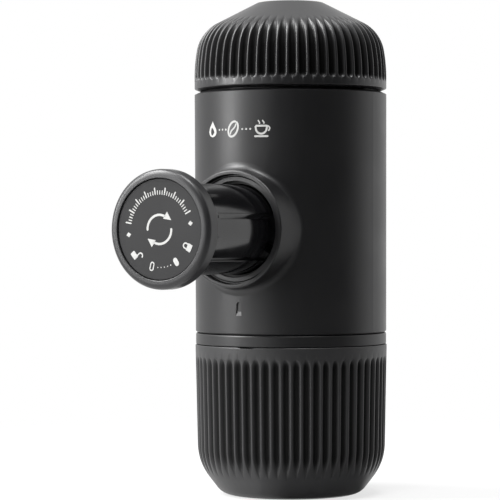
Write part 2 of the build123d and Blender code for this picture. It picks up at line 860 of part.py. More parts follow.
with BuildPart() as shower_screw:
    shower_seat_z = head_z - shower_thickness
    turned(
        (0, shower_seat_z - shower_screw_head),
        (shower_screw_head_r, shower_seat_z - shower_screw_head),
        (shower_screw_head_r, shower_seat_z),
        (shower_screw_r, shower_seat_z),
        (shower_screw_r, head_z + shower_screw_length),
        (0, head_z + shower_screw_length),
    )
finish("shower_screw", shower_screw.part)

# ---------------------------------------------------------------- water tank, hollow and open at its neck
neck_groove_r = shell_r - 2 * ring_gap - neck_seal_wall
with BuildLine(Plane.XZ) as tank_outline:
    tank_wall_edge = Line((tank_r, tank_z + tank_foot_chamfer_height), (tank_r, wall_z))
    tank_side = TangentArc(tank_wall_edge @ 1, (shoulder_r, shoulder_z), tangent=(0, 1))
    tank_shoulder = TangentArc(tank_side @ 1, (cone_r, cone_z), tangent=tank_side % 1)
    tank_cone = Line(tank_shoulder @ 1, (tank_top_r, tank_top))
    Polyline(
        tank_cone @ 1,
        (0, tank_top),
        (0, tank_z),
        (tank_r - tank_foot_chamfer, tank_z),
        tank_wall_edge @ 0,
    )

with BuildPart() as tank_flute:
    # the groove climbs the wall, keeps its depth over the side, gets shallow on the shoulder and runs out
    # on the cone
    flute_start_z = tank_z + tank_flute_rise
    flute(
        (tank_r + flute_clear, 0, flute_start_z - flute_clear),
        (tank_r - flute_depth, 0, flute_start_z + tank_scoop),
        inside(tank_side, 0.5, flute_depth),
        inside(tank_side, 1, flute_depth),
        inside(tank_shoulder, 0.5, 0.8 * flute_depth),
        inside(tank_shoulder, 1, 0.45 * flute_depth),
        inside(tank_cone, 0.2, -flute_clear),
    )

with BuildPart() as water_tank:
    with BuildSketch(Plane.XZ):
        make_face(tank_outline.edges())
    revolve(axis=Axis.Z)
    cap_edge = water_tank.edges().filter_by(GeomType.CIRCLE).sort_by(Axis.Z)[-1]
    fillet(cap_edge, tank_top_edge_r)
    turned(
        (0, neck_z),
        (neck_r, neck_z),
        (neck_r, neck_z + neck_seal_rise),
        (neck_groove_r, neck_z + neck_seal_rise),
        (neck_groove_r, neck_z + neck_seal_rise + neck_seal_height),
        (neck_r, neck_z + neck_seal_rise + neck_seal_height),
        (neck_r, tank_z),
        (0, tank_z),
    )
    with PolarLocations(0, flute_count, start_angle=tank_turn):
        add(tank_flute.part, mode=Mode.SUBTRACT)
    # the hollow follows the dome one wall inside it
    with BuildSketch(Plane.XZ):
        with BuildLine():
            bore = Polyline((0, neck_z), (tank_bore_r, neck_z), (tank_bore_r, shoulder_z - tank_wall))
            crown = TangentArc(
                bore @ 1, (cone_r - tank_wall / 2, cone_z - tank_wall + tank_wall / 6), tangent=(0, 1)
            )
            Polyline(crown @ 1, (tank_top_r, tank_top - tank_wall), (0, tank_top - tank_wall), (0, neck_z))
        make_face()
    revolve(axis=Axis.Z, mode=Mode.SUBTRACT)
finish("water_tank", water_tank.part)

with BuildPart() as tank_seal:
    ring(
        neck_z + neck_seal_rise + ring_gap,
        neck_seal_height - 2 * ring_gap,
        neck_groove_r + ring_gap,
        shell_r - ring_gap,
    )
finish("tank_seal", tank_seal.part)

# ---------------------------------------------------------------- portafilter and what it holds
seal_z = flange_top + portafilter_seal_rise
with BuildPart() as portafilter:
    plug_r = cup_bore_r - slide_gap
    turned(
        (outlet_r, spout_z),
        (chamber_r, spout_z),
        (chamber_r, flange_z - plug_height - (plug_r - chamber_r)),
        (plug_r, flange_z - plug_height),
        (plug_r, flange_z),
        (flange_r, flange_z),
        (flange_r, flange_top),
        (neck_r, flange_top),
        (neck_r, seal_z),
        (neck_groove_r, seal_z),
        (neck_groove_r, seal_z + neck_seal_height),
        (neck_r, seal_z + neck_seal_height),
        (neck_r, rim_z),
        (basket_flange_r + press_gap, rim_z),
        (basket_flange_r + press_gap, rim_z - basket_flange),
        (portafilter_bore_r, rim_z - basket_flange),
        (portafilter_bore_r, chamber_z),
        (outlet_r, chamber_z),
    )
    rims = portafilter.edges().filter_by(GeomType.CIRCLE).filter_by(lambda e: e.radius > plug_r + slide_gap)
    fillet(rims.sort_by(Axis.Z)[-1], flange_edge_r)
finish("portafilter", portafilter.part)

with BuildPart() as portafilter_seal:
    ring(
        seal_z + ring_gap,
        neck_seal_height - 2 * ring_gap,
        neck_groove_r + ring_gap,
        shell_r - ring_gap,
    )
finish("portafilter_seal", portafilter_seal.part)

with BuildPart() as filter_basket:
    turned(
        (0, basket_z),
        (basket_r, basket_z),
        (basket_r, rim_z - basket_flange),
        (basket_flange_r, rim_z - basket_flange),
        (basket_flange_r, rim_z),
        (basket_r - basket_wall, rim_z),
        (basket_r - basket_wall, basket_z + basket_wall),
        (0, basket_z + basket_wall),
    )
finish("filter_basket", filter_basket.part)

with BuildPart() as coffee_scoop:
    scoop_z = basket_z + basket_wall + seat_gap
    turned(
        (scoop_r - scoop_wall, scoop_z),
        (scoop_r, scoop_z),
        (scoop_r, scoop_z + scoop_height),
        (0, scoop_z + scoop_height),
        (0, scoop_z + scoop_height - scoop_wall),
        (scoop_r - scoop_wall, scoop_z + scoop_height - scoop_wall),
    )
finish("coffee_scoop", coffee_scoop.part)

with BuildPart() as spout_head:
    rim_low = spout_z - spout_rim
    tip_top = rim_low - spout_cone
    funnel_top = spout_z - spout_seal_depth - spout_wall
    turned(
        (spout_hole_r, tip_top - spout_tip),
        (spout_tip_r, tip_top - spout_tip),
        (spout_tip_r, tip_top),
        (chamber_r, rim_low),
        (chamber_r, spout_z),
        (spout_seal_r, spout_z),
        (spout_seal_r, spout_z - spout_seal_depth),
        (spout_seal_r - spout_seal_wall, spout_z - spout_seal_depth),
        (spout_seal_r - spout_seal_wall, spout_z),
        (spout_seal_r - spout_seal_wall - spout_wall, spout_z),
        (spout_seal_r - spout_seal_wall - spout_wall, funnel_top),
        (spout_hole_r, tip_top + spout_wall),
    )
finish("spout_head", spout_head.part)

with BuildPart() as spout_seal:
    ring(spout_z - spout_seal_depth, spout_seal_depth, spout_seal_r - spout_seal_wall, spout_seal_r)
finish("spout_seal", spout_seal.part)

# ---------------------------------------------------------------- drinking cup
with BuildLine(Plane.XZ) as cup_outline:
    cup_base = Line((0, 0), (cup_base_r, 0))
    cup_heel = TangentArc(cup_base @ 1, (cup_heel_r, cup_heel_height), tangent=(1, 0))
    cup_hip = Line(cup_heel @ 1, (cup_hip_r, cup_hip_height))
    cup_waist = TangentArc(cup_hip @ 1, (cup_waist_r, cup_waist_height), tangent=cup_hip % 1)
    cup_side = Line(cup_waist @ 1, (cup_r, cup_height))
    Polyline(cup_side @ 1, (0, cup_height), (0, 0))

with BuildPart() as cup_flute:
    # the groove goes down the wall and gets shallow round the waist, to run out on the hip
    flute_top_z = cup_height - cup_flute_fall
    flute(
        (cup_r + flute_clear, 0, flute_top_z + flute_clear),
        (cup_r - flute_depth, 0, flute_top_z - cup_scoop),
        inside(cup_side, 0, flute_depth),
        inside(cup_waist, 0.5, 0.8 * flute_depth),
        inside(cup_waist, 0, 0.3 * flute_depth),
        inside(cup_hip, 0.7, -flute_clear),
    )

with BuildPart() as drinking_cup:
    with BuildSketch(Plane.XZ):
        make_face(cup_outline.edges())
    revolve(axis=Axis.Z)
    with PolarLocations(0, flute_count, start_angle=cup_turn):
        add(cup_flute.part, mode=Mode.SUBTRACT)
    with BuildSketch(Plane.XZ):
        with BuildLine():
            floor = Line((0, cup_floor), (cup_heel_r - bowl_inset, cup_floor))
            ramp = Line(floor @ 1, (cup_hip_r - bowl_wall, cup_hip_height + bowl_wall))
            bowl = TangentArc(ramp @ 1, (cup_waist_r - cup_side_wall, bowl_height), tangent=ramp % 1)
            Polyline(bowl @ 1, (cup_bore_r, cup_height), (0, cup_height), (0, cup_floor))
        make_face()
    revolve(axis=Axis.Z, mode=Mode.SUBTRACT)
    with BuildSketch(Plane.XZ.offset(cup_bore_r / 2)):
        with Locations((0, cup_height)):
            Rectangle(cup_notch_width, 2 * cup_notch_depth)
    extrude(amount=cup_r, mode=Mode.SUBTRACT)
finish("drinking_cup", drinking_cup.part)
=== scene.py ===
# %% [markdown]
# # A hand-pumped espresso maker
#
# The object stands on its own drinking cup. A portafilter screws into the bottom of the body, a water
# tank into its top, and a piston pops out at the front. This file dresses the solids of the frame: the
# outer skins are worked out with numpy, the body and most inner pieces keep their own mesh, and every
# piece gets a finish made of shader nodes. All numbers are millimetres until a mesh is made.

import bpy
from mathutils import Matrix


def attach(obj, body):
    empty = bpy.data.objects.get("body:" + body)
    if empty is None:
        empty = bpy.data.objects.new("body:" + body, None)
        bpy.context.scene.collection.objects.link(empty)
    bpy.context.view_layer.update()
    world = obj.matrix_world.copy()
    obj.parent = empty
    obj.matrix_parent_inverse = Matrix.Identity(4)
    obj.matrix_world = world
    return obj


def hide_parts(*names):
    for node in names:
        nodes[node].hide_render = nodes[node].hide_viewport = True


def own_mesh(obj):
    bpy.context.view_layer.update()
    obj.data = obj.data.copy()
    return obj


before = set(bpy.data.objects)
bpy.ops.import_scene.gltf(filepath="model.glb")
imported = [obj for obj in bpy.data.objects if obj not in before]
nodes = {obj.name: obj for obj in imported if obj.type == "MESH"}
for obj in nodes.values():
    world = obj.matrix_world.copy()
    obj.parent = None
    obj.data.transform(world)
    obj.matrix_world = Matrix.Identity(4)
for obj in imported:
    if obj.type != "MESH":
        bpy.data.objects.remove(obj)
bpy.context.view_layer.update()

import bmesh
import bpy
import numpy as np
from mathutils import Quaternion, Vector

MM = 0.001
pump_z = 84.1


def added(name, data):
    """A new object in the scene."""
    made = bpy.data.objects.new(name, data)
    bpy.context.scene.collection.objects.link(made)
    return made


# %% [markdown]
# ## Camera
#
# A long lens from the front right keeps the upright sides almost parallel. The aim is a little left of
# the object's axis and a hair below the horizon. It could be aimed with a Track To constraint, but a
# direction worked out once and turned into a rotation leaves nothing live in the scene.

# %% Camera
camera_turn = np.radians(32.2)
camera_distance = 770.0
camera_height = 84.0
aim_left = np.radians(0.968)
aim_down = np.radians(0.486)
camera_roll = np.radians(-0.15)

to_camera = np.array([np.sin(camera_turn), -np.cos(camera_turn), 0.0])
to_right = np.array([np.cos(camera_turn), np.sin(camera_turn), 0.0])
level_aim = -to_camera * np.cos(aim_left) - to_right * np.sin(aim_left)
aim = level_aim * np.cos(aim_down) - np.array([0.0, 0.0, np.sin(aim_down)])

lens = bpy.data.cameras.new("camera")
lens.sensor_width = 36.0
lens.lens = 174.0
camera = added("camera", lens)
camera.location = Vector(to_camera * camera_distance * MM) + Vector((0, 0, camera_height * MM))
level_view = Vector(aim).to_track_quat("-Z", "Y")
camera.rotation_euler = (level_view @ Quaternion((0, 0, 1), camera_roll)).to_euler()
bpy.context.scene.camera = camera
bpy.context.scene.view_settings.view_transform = "Standard"
print("camera at", np.round(camera.location, 3), "m")

# %% [markdown]
# ## Shader sums as plain expressions
#
# Most nodes of a finish only add and multiply. They could be made one by one, but the sum gets lost
# among the links. Here a small class wraps an output socket, so that `1 - mask * 0.3` adds the Math
# nodes by itself. A Math node would turn colours grey, so they have their own Mix.


# %% A number that varies over a surface
class Varying:
    """An output socket. Python's arithmetic on it adds Math nodes to its finish."""

    def __init__(self, finish, socket):
        self.finish = finish
        self.socket = socket

    def __add__(self, other):
        return self.finish.math("ADD", self, other)

    def __sub__(self, other):
        return self.finish.math("SUBTRACT", self, other)

    def __rsub__(self, other):
        return self.finish.math("SUBTRACT", other, self)

    def __mul__(self, other):
        return self.finish.math("MULTIPLY", self, other)

    __radd__ = __add__
    __rmul__ = __mul__


# %% A finish
class Finish:
    """A material: its Principled shader, with sums and other nodes added in front of it."""

    def __init__(self, name, **uniform):
        self.material = bpy.data.materials.new(name)
        self.material.use_nodes = True
        self.tree = self.material.node_tree
        self.shader = self.tree.nodes["Principled BSDF"]
        self.place = self.node("ShaderNodeTexCoord").outputs["Object"]
        for socket, value in uniform.items():
            self.shader.inputs[socket.replace("_", " ")].default_value = value

    def node(self, kind, settings=None, inputs=None):
        """Any node: its type, its settings, and the values or links of its sockets."""
        made = self.tree.nodes.new(kind)
        for setting, value in (settings or {}).items():
            setattr(made, setting, value)
        for socket, value in (inputs or {}).items():
            self.feed(made.inputs[socket], value)
        return made

    def feed(self, socket, value):
        """Links a varying value or an output to a socket, or sets the socket to a number."""
        if isinstance(value, Varying):
            value = value.socket
        if isinstance(value, bpy.types.NodeSocket):
            self.tree.links.new(value, socket)
        else:
            socket.default_value = value

    def math(self, operation, *values):
        """One Math node."""
        made = self.node("ShaderNodeMath", {"operation": operation}, dict(enumerate(values)))
        return Varying(self, made.outputs[0])

    def axes(self):
        """The object's x, y and z at each point, in metres."""
        parts = self.node("ShaderNodeSeparateXYZ", inputs={"Vector": self.place})
        return [Varying(self, socket) for socket in parts.outputs]

    def noise(self, size, detail=2.0, stretch=(1, 1, 1)):
        """Soft random values from 0 to 1, in patches about size millimetres wide. A small stretch along an
        axis makes them long that way."""
        place = self.node("ShaderNodeMapping", inputs={"Vector": self.place, "Scale": stretch}).outputs[0]
        settings = {"Vector": place, "Scale": 1 / (size * MM), "Detail": detail}
        return Varying(self, self.node("ShaderNodeTexNoise", inputs=settings).outputs["Fac"])

    def ramp(self, value, low, high):
        """0 below low, 1 above high, and a smooth step between."""
        settings = {"interpolation_type": "SMOOTHSTEP"}
        made = self.node("ShaderNodeMapRange", settings, {"Value": value, "From Min": low, "From Max": high})
        return Varying(self, made.outputs["Result"])

    def mix(self, factor, first, second):
        """A colour between two colours, each a tuple or the output of another mix."""
        settings = {"data_type": "RGBA", "clamp_factor": True}
        made = self.node("ShaderNodeMix", settings)
        self.feed(made.inputs[0], factor)
        for socket, colour in ((made.inputs[6], first), (made.inputs[7], second)):
            self.feed(socket, (*colour, 1.0) if isinstance(colour, tuple) else colour)
        return made.outputs[2]

    def bump(self, height, depth, strength=1.0):
        """Tilts the surface as a relief of height from 0 to 1 would, depth millimetres deep."""
        settings = {"Height": height, "Distance": depth * MM, "Strength": strength}
        self.feed(self.shader.inputs["Normal"], self.node("ShaderNodeBump", inputs=settings).outputs[0])

    def paint(self, **varying):
        """Links what changes over the surface to the shader's own sockets, and gives the material."""
        for socket, value in varying.items():
            self.feed(self.shader.inputs[socket.replace("_", " ")], value)
        print("finish", self.material.name)
        return self.material


def shade(colour, factor):
    """The same colour, factor times as light."""
    return tuple(factor * channel for channel in colour)


# %% [markdown]
# ## The studio
#
# A pale floor and a pale room. Both look white to the camera and in reflections, by the Light Path
# node, while they light the object at a plain level. Turning their light down instead would also turn
# the background grey. The lamps, and the flag that gives the object its dark side, come last.


# %% Light rays and seen rays
def seen_directly(tree):
    """1 for rays from the camera, from a gloss or through glass, and 0 for rays that only carry light."""
    path = tree.nodes.new("ShaderNodeLightPath")
    total = path.outputs["Is Camera Ray"]
    for ray in ("Is Glossy Ray", "Is Transmission Ray"):
        either = tree.nodes.new("ShaderNodeMath")
        either.operation = "MAXIMUM"
        tree.links.new(total, either.inputs[0])
        tree.links.new(path.outputs[ray], either.inputs[1])
        total = either.outputs[0]
    return total


# %% White room
room_light = 0.35
world = bpy.data.worlds.new("white_room")
bpy.context.scene.world = world
world.use_nodes = True
room_tree = world.node_tree
background = room_tree.nodes["Background"]
background.inputs["Color"].default_value = (1.0, 1.0, 1.0, 1.0)
strength = room_tree.nodes.new("ShaderNodeMapRange")
strength.inputs["To Min"].default_value = room_light
room_tree.links.new(seen_directly(room_tree), strength.inputs["Value"])
room_tree.links.new(strength.outputs[0], background.inputs["Strength"])
print("the room lights at", room_light, "and shows at 1")


# %% [markdown]
# ## Surfaces as arrays
#
# A shape is a grid of points: one row for each step along its outline and one column for each step
# round it. Vertices added in a loop or bmesh's spin would do too, but whole arrays say the shape as a
# formula. Two maps place a grid: one round the upright axis, one round the pump's axis across the body.


# %% Grids and meshes
def grid_faces(rows, columns, wrap=True):
    """Four-sided faces over a grid whose points are numbered row by row. With wrap, the last column meets
    the first."""
    row = np.arange(rows - 1)[:, None] * columns
    column = np.arange(columns if wrap else columns - 1)[None, :]
    beside = (column + 1) % columns
    corners = (row + column, row + beside, row + columns + beside, row + columns + column)
    return np.stack(corners, axis=-1).reshape(-1, 4)


# %% One piece of an object
def make_piece(name, body, finish, grids, sharp=None, groove=None):
    """One mesh from grids of points in millimetres. Points that meet are merged, and faces turned outwards.
    A groove is a grid of values for the first grid's points, kept as an attribute of the mesh."""
    points = []
    faces = []
    count = 0
    for grid in grids:
        rows, columns = grid.shape[:2]
        faces.append(grid_faces(rows, columns) + count)
        points.append(grid.reshape(-1, 3) * MM)
        count += rows * columns
    mesh = bpy.data.meshes.new(name)
    mesh.from_pydata(np.concatenate(points), [], np.concatenate(faces).tolist())
    if groove is not None:
        values = np.zeros(count)
        values[: groove.size] = groove.ravel()
        mesh.attributes.new("groove", "FLOAT", "POINT").data.foreach_set("value", values)
    shape = bmesh.new()
    shape.from_mesh(mesh)
    bmesh.ops.remove_doubles(shape, verts=shape.verts, dist=0.0005 * MM)
    bmesh.ops.recalc_face_normals(shape, faces=shape.faces)
    shape.to_mesh(mesh)
    shape.free()
    mesh.polygons.foreach_set("use_smooth", np.ones(len(mesh.polygons), bool))
    if sharp:
        mesh.set_sharp_from_angle(angle=np.radians(sharp))
    piece = added(name, mesh)
    mesh.materials.append(finish)
    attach(piece, body)
    print(name, len(mesh.polygons), "faces,", np.round(np.array(piece.dimensions) / MM, 1), "mm")
    return piece


# %% Two ways to turn an outline
def points_of(x, y, z):
    """Points from their x, y and z, each a number or a grid of numbers."""
    return np.stack(np.broadcast_arrays(x, y, z), axis=-1)


def upright(radius, height, angle):
    """Round the upright axis: x and y are the radius times the angle's cosine and sine."""
    return points_of(radius * np.cos(angle), radius * np.sin(angle), height)


def on_pump(radius, along, angle):
    """Round the pump's axis, seen from the knob: angle 0 is to the right, a quarter turn is up."""
    return points_of(radius * np.cos(angle), along, pump_z + radius * np.sin(angle))


def turned(outline, place, columns=192):
    """An outline of (radius, along) carried round an axis."""
    angle = np.linspace(0, 2 * np.pi, columns, endpoint=False)
    return place(outline[:, :1], outline[:, 1:], angle[None, :])


# %% Lines and arcs
def on_circle(angle):
    """The points at these angles on a circle of radius 1."""
    return np.stack([np.cos(angle), np.sin(angle)], axis=-1)


def arc_between(centre, radius, start, end, steps):
    """Points on a circle, the short way round from start to end."""
    first = np.arctan2(*(start - centre)[::-1])
    sweep = (np.arctan2(*(end - centre)[::-1]) - first + np.pi) % (2 * np.pi) - np.pi
    return centre + radius * on_circle(first + sweep * np.linspace(0, 1, steps + 1))


def between(start, end, share):
    """The points at these shares of the way from start to end."""
    return np.array(start) + (np.array(end, float) - np.array(start)) * share[:, None]


def walked(line):
    """How far along a line each of its points lies."""
    return np.append(0, np.cumsum(np.linalg.norm(np.diff(line, axis=0), axis=1)))


def points_along(line, stops):
    """The points that lie these distances along a line."""
    return np.stack([np.interp(stops, walked(line), measure) for measure in line.T], axis=-1)


def refined(line, step):
    """The same line with its own points kept, and more points put in between, about a step apart."""
    line = np.array(line, float)
    reach = walked(line)
    extra = np.arange(0, reach[-1], step)
    extra = extra[np.abs(extra[:, None] - reach[None, :]).min(axis=1) > step / 4]
    return points_along(line, np.union1d(reach, extra))


def left_of(line):
    """At each point of a line, the direction a quarter turn to its left."""
    ahead = np.gradient(line, axis=0)
    ahead /= np.hypot(*ahead.T)[:, None]
    return np.stack([-ahead[:, 1], ahead[:, 0]], axis=-1)


# %% Outlines with true edges
def rounded(corners, closed=False, steps=5):
    """An outline through corners of (radius, along, rounding). Each corner is an arc that touches both its
    sides: its centre lies on the bisector, the rounding divided by the sine of the half angle away. A
    point a fifth of the rounding outside the arc's ends keeps the sides' shading flat."""
    points = np.array([corner[:2] for corner in corners], float)
    backs = np.roll(points, 1, axis=0) - points
    aheads = np.roll(points, -1, axis=0) - points
    backs /= np.maximum(np.hypot(*backs.T), 1e-9)[:, None]
    aheads /= np.maximum(np.hypot(*aheads.T), 1e-9)[:, None]
    outline = []
    for i, (point, back, ahead) in enumerate(zip(points, backs, aheads)):
        rounding = corners[i][2]
        if rounding == 0 or (not closed and i in (0, len(points) - 1)):
            outline.append(point[None])
            continue
        half = np.arccos(np.clip(back @ ahead, -1, 1)) / 2
        middle = back + ahead
        centre = point + middle / np.hypot(*middle) * rounding / np.sin(half)
        start = point + back * rounding / np.tan(half)
        end = point + ahead * rounding / np.tan(half)
        arc = arc_between(centre, rounding, start, end, steps)
        outline += [(start + 0.2 * rounding * back)[None], arc, (end + 0.2 * rounding * ahead)[None]]
    if closed:
        outline.append(outline[0][:1])
    return np.concatenate(outline)


def tangent_arc(start, heading, end, steps):
    """The arc that leaves start along heading and ends at end. Its radius is the chord squared over twice
    the chord's reach to the side."""
    start, end = np.array(start, float), np.array(end, float)
    heading = np.array(heading, float) / np.hypot(*heading)
    side = np.array([-heading[1], heading[0]])
    chord = end - start
    radius = chord @ chord / (2 * side @ chord)
    return arc_between(start + side * radius, abs(radius), start, end, steps)


# %% [markdown]
# ## Satin moulded plastic
#
# The body, tank, cup and portafilter are charcoal plastic from a spark-eroded mould. Its grain is finer
# than a hair, so it reads as a soft sheen. An image could hold that grain, but a noise on Object
# coordinates has no seam and the right size on every piece. Handling polishes it in patches, and the
# colour drifts by a few percent from wall to wall.


# %% Satin plastic
def satin_plastic(name, colour, roughness, grain=0.012, ior=1.5, groove_shade=0.0):
    """Charcoal plastic: drifting colour, patches polished by handling, and an eroded grain. Where the piece's
    own groove attribute rises, the colour is painted black as painted shade in the flutes, metallic takes its
    reflection away, and the plastic gets rougher."""
    finish = Finish(name, IOR=ior)
    drift = finish.noise(26, 3.0)
    speck = finish.noise(0.6, 1.0)
    handled = finish.ramp(finish.noise(15, 4.0), 0.38, 0.72)
    finish.bump(finish.noise(0.28, 3.0), grain, 0.55)
    tint = finish.mix(drift * 0.7 + speck * 0.3, shade(colour, 0.88), shade(colour, 1.14))
    gloss = roughness + 0.03 * speck - 0.05 * handled
    if not groove_shade:
        return finish.paint(Base_Color=tint, Roughness=gloss)
    settings = {"attribute_name": "groove"}
    groove = Varying(finish, finish.node("ShaderNodeAttribute", settings).outputs["Fac"])
    # Painted shade in the flutes: the deeper a point lies, the blacker its colour, and metallic with that
    # black takes its reflection away.
    deep = finish.ramp(groove, 0.12, 0.85)
    tint = finish.mix(deep, tint, shade(colour, 0.2))
    return finish.paint(Base_Color=tint, Roughness=gloss + 0.3 * deep, Metallic=groove_shade * deep)


body_finish = satin_plastic("satin_body", (0.0060, 0.0060, 0.0066), 0.40)
# The tank's and the cup's flutes get painted shade in their grooves.
tank_finish = satin_plastic("satin_tank", (0.0070, 0.0070, 0.0077), 0.36, groove_shade=0.85)
cup_finish = satin_plastic("satin_cup", (0.0155, 0.0155, 0.0163), 0.43, groove_shade=0.5)
knob_finish = satin_plastic("satin_knob", (0.0150, 0.0150, 0.0160), 0.34)
face_finish = satin_plastic("satin_face", (0.0120, 0.0120, 0.0127), 0.55, grain=0.02, ior=1.34)

# %% [markdown]
# ## Polished black sleeve
#
# The piston's sleeve slides in its collar, so it is polished and hard. Its gloss is what shows: long
# hairline scratches along the stroke, and a few finger marks that dull it. An image of scratches would
# need a map of the tube, while a noise drawn out along the stroke needs none.


# %% Gloss plastic
def gloss_plastic(name, colour, roughness):
    """Polished plastic with hairlines along the pump's axis and dull finger marks."""
    finish = Finish(name, IOR=1.52)
    hairline = finish.noise(0.25, 2.0, (1, 0.02, 1))
    marks = finish.ramp(finish.noise(9, 3.0), 0.5, 0.75)
    finish.bump(hairline, 0.002, 0.25)
    tint = finish.mix(finish.noise(4, 3.0), colour, shade(colour, 1.6))
    return finish.paint(Base_Color=tint, Roughness=roughness + 0.07 * marks + 0.03 * hairline)


sleeve_finish = gloss_plastic("gloss_black", (0.003, 0.003, 0.0034), 0.11)


# %% Collar plastic
def collar_plastic(name, colour, roughness):
    """Satin plastic with a fine groove round its face, a fraction of a millimetre wide, sunk by a bump and
    painted black as painted shade. The lugs, which reach further in than the bore, are painted black as
    painted shade too.
    In both places metallic takes the reflection away and the plastic gets rougher."""
    finish = Finish(name, IOR=1.5)
    x, y, z = finish.axes()
    up = z - pump_z * MM
    radius = finish.math("SQRT", x * x + up * up)
    groove = finish.ramp(radius, 16.08 * MM, 16.18 * MM) * (1 - finish.ramp(radius, 16.36 * MM, 16.46 * MM))
    # Painted shade of the bore: the face turns black inside a radius of 14.8 to 14.95 mm.
    bore_shade = 1 - finish.ramp(radius, 14.8 * MM, 14.95 * MM)
    painted_shade = finish.math("MAXIMUM", groove, bore_shade)
    finish.bump(0.2 * finish.noise(0.28, 3.0) - groove, 0.06, 0.5)
    # Painted shade in the groove and at the bore: black, with metallic taking the reflection away.
    tint = finish.mix(painted_shade, colour, shade(colour, 0.1))
    return finish.paint(Base_Color=tint, Roughness=roughness + 0.35 * painted_shade, Metallic=painted_shade)


collar_finish = collar_plastic("satin_collar", (0.010, 0.010, 0.011), 0.40)

# %% [markdown]
# ## Inner plastics, rubber and steel
#
# The pieces inside show when the tank or the portafilter comes off. Structural plastic is slightly
# mottled, silicone and rubber are matte and dusty. The steel sheet is turned, so its brush lines run in
# rings, which a noise on the radius gives. An image would have to be mapped onto each piece.


# %% Inner plastics and rubber
def plain_plastic(name, colour, roughness):
    """Structural plastic: flow marks in the colour and a light grain."""
    finish = Finish(name, IOR=1.5)
    flow = finish.noise(7, 4.0, (1, 1, 0.4))
    finish.bump(finish.noise(0.35, 2.0), 0.012, 0.5)
    tint = finish.mix(flow, colour, shade(colour, 1.12))
    return finish.paint(Base_Color=tint, Roughness=roughness + 0.1 * flow)


def soft_rubber(name, colour):
    """Rubber or silicone: matte, dusty in patches."""
    finish = Finish(name, IOR=1.45)
    dust = finish.ramp(finish.noise(3, 4.0), 0.45, 0.8)
    finish.bump(finish.noise(0.2, 2.0), 0.01, 0.4)
    dusty = tuple(0.85 * channel + 0.05 for channel in colour)
    return finish.paint(Base_Color=finish.mix(dust, colour, dusty), Roughness=0.62 + 0.16 * dust)


inner_finish = plain_plastic("inner_plastic", (0.030, 0.030, 0.032), 0.42)
bore_finish = plain_plastic("black_bore", (0.004, 0.004, 0.004), 0.62)
pale_finish = plain_plastic("pale_plastic", (0.62, 0.62, 0.59), 0.38)
rubber_finish = soft_rubber("black_rubber", (0.022, 0.022, 0.022))
silicone_finish = soft_rubber("red_silicone", (0.46, 0.055, 0.035))


# %% Steel
def turned_steel(name, roughness, hole_spacing=0.0, hole_size=0.0):
    """Stainless sheet with ring-shaped brush lines. With a hole spacing, its flat faces show a square grid of
    holes, sunk by a bump and painted near-black as painted shade: a hole is where two cosine waves across x
    and y add up past a limit."""
    finish = Finish(name, Metallic=1.0)
    x, y, z = finish.axes()
    radius = finish.math("SQRT", x * x + y * y)
    rings = finish.node("ShaderNodeCombineXYZ", inputs={0: radius, 1: z}).outputs[0]
    lines = finish.node("ShaderNodeTexNoise", inputs={"Vector": rings, "Scale": 9000.0, "Detail": 2.0})
    brush = Varying(finish, lines.outputs["Fac"])
    tint = finish.mix(finish.noise(12, 3.0), (0.55, 0.55, 0.56), (0.66, 0.655, 0.65))
    height = brush
    if hole_spacing:
        wave = 2 * np.pi / (hole_spacing * MM)
        swell = finish.math("COSINE", x * wave) + finish.math("COSINE", y * wave)
        facing = finish.node("ShaderNodeNewGeometry").outputs["True Normal"]
        upness = Varying(finish, finish.node("ShaderNodeSeparateXYZ", inputs={0: facing}).outputs[2])
        flat = finish.ramp(upness * upness, 0.8, 0.9)
        inner = 1 - finish.ramp(radius, 19.3 * MM, 19.5 * MM)
        edge = 2 * np.cos(np.pi * hole_size / hole_spacing)
        hole = finish.ramp(swell, edge - 0.12, edge + 0.12) * flat * inner
        # Painted shade: the holes are painted near-black.
        tint = finish.mix(hole, tint, (0.004, 0.004, 0.004))
        height = brush * 0.1 - hole
    finish.bump(height, 0.02 if not hole_spacing else 0.1, 0.3)
    return finish.paint(Base_Color=tint, Roughness=roughness + 0.14 * brush)


steel_finish = turned_steel("turned_steel", 0.24)
basket_finish = turned_steel("pierced_basket", 0.26, 0.9, 0.36)
shower_finish = turned_steel("pierced_shower", 0.3, 0.8, 0.3)
screen_finish = turned_steel("woven_screen", 0.35, 0.35, 0.2)


# %% Spring wire
def drawn_wire(name):
    """Drawn spring wire: bright, with a fine drift in its polish."""
    finish = Finish(name, Metallic=1.0)
    drift = finish.noise(1.2, 3.0)
    finish.bump(finish.noise(0.1, 1.0), 0.003, 0.3)
    tint = finish.mix(drift, (0.60, 0.60, 0.61), (0.72, 0.72, 0.73))
    return finish.paint(Base_Color=tint, Roughness=0.16 + 0.16 * drift)


wire_finish = drawn_wire("drawn_wire")

# %% [markdown]
# ## Pieces that keep their own mesh
#
# The frame's mesh of the body and of most inner pieces is already exact and smooth. They could be
# modelled again, but that would only loosen their fit, so just their finish changes. It goes into the
# material slot of the mesh, which leaves the shape as it is.

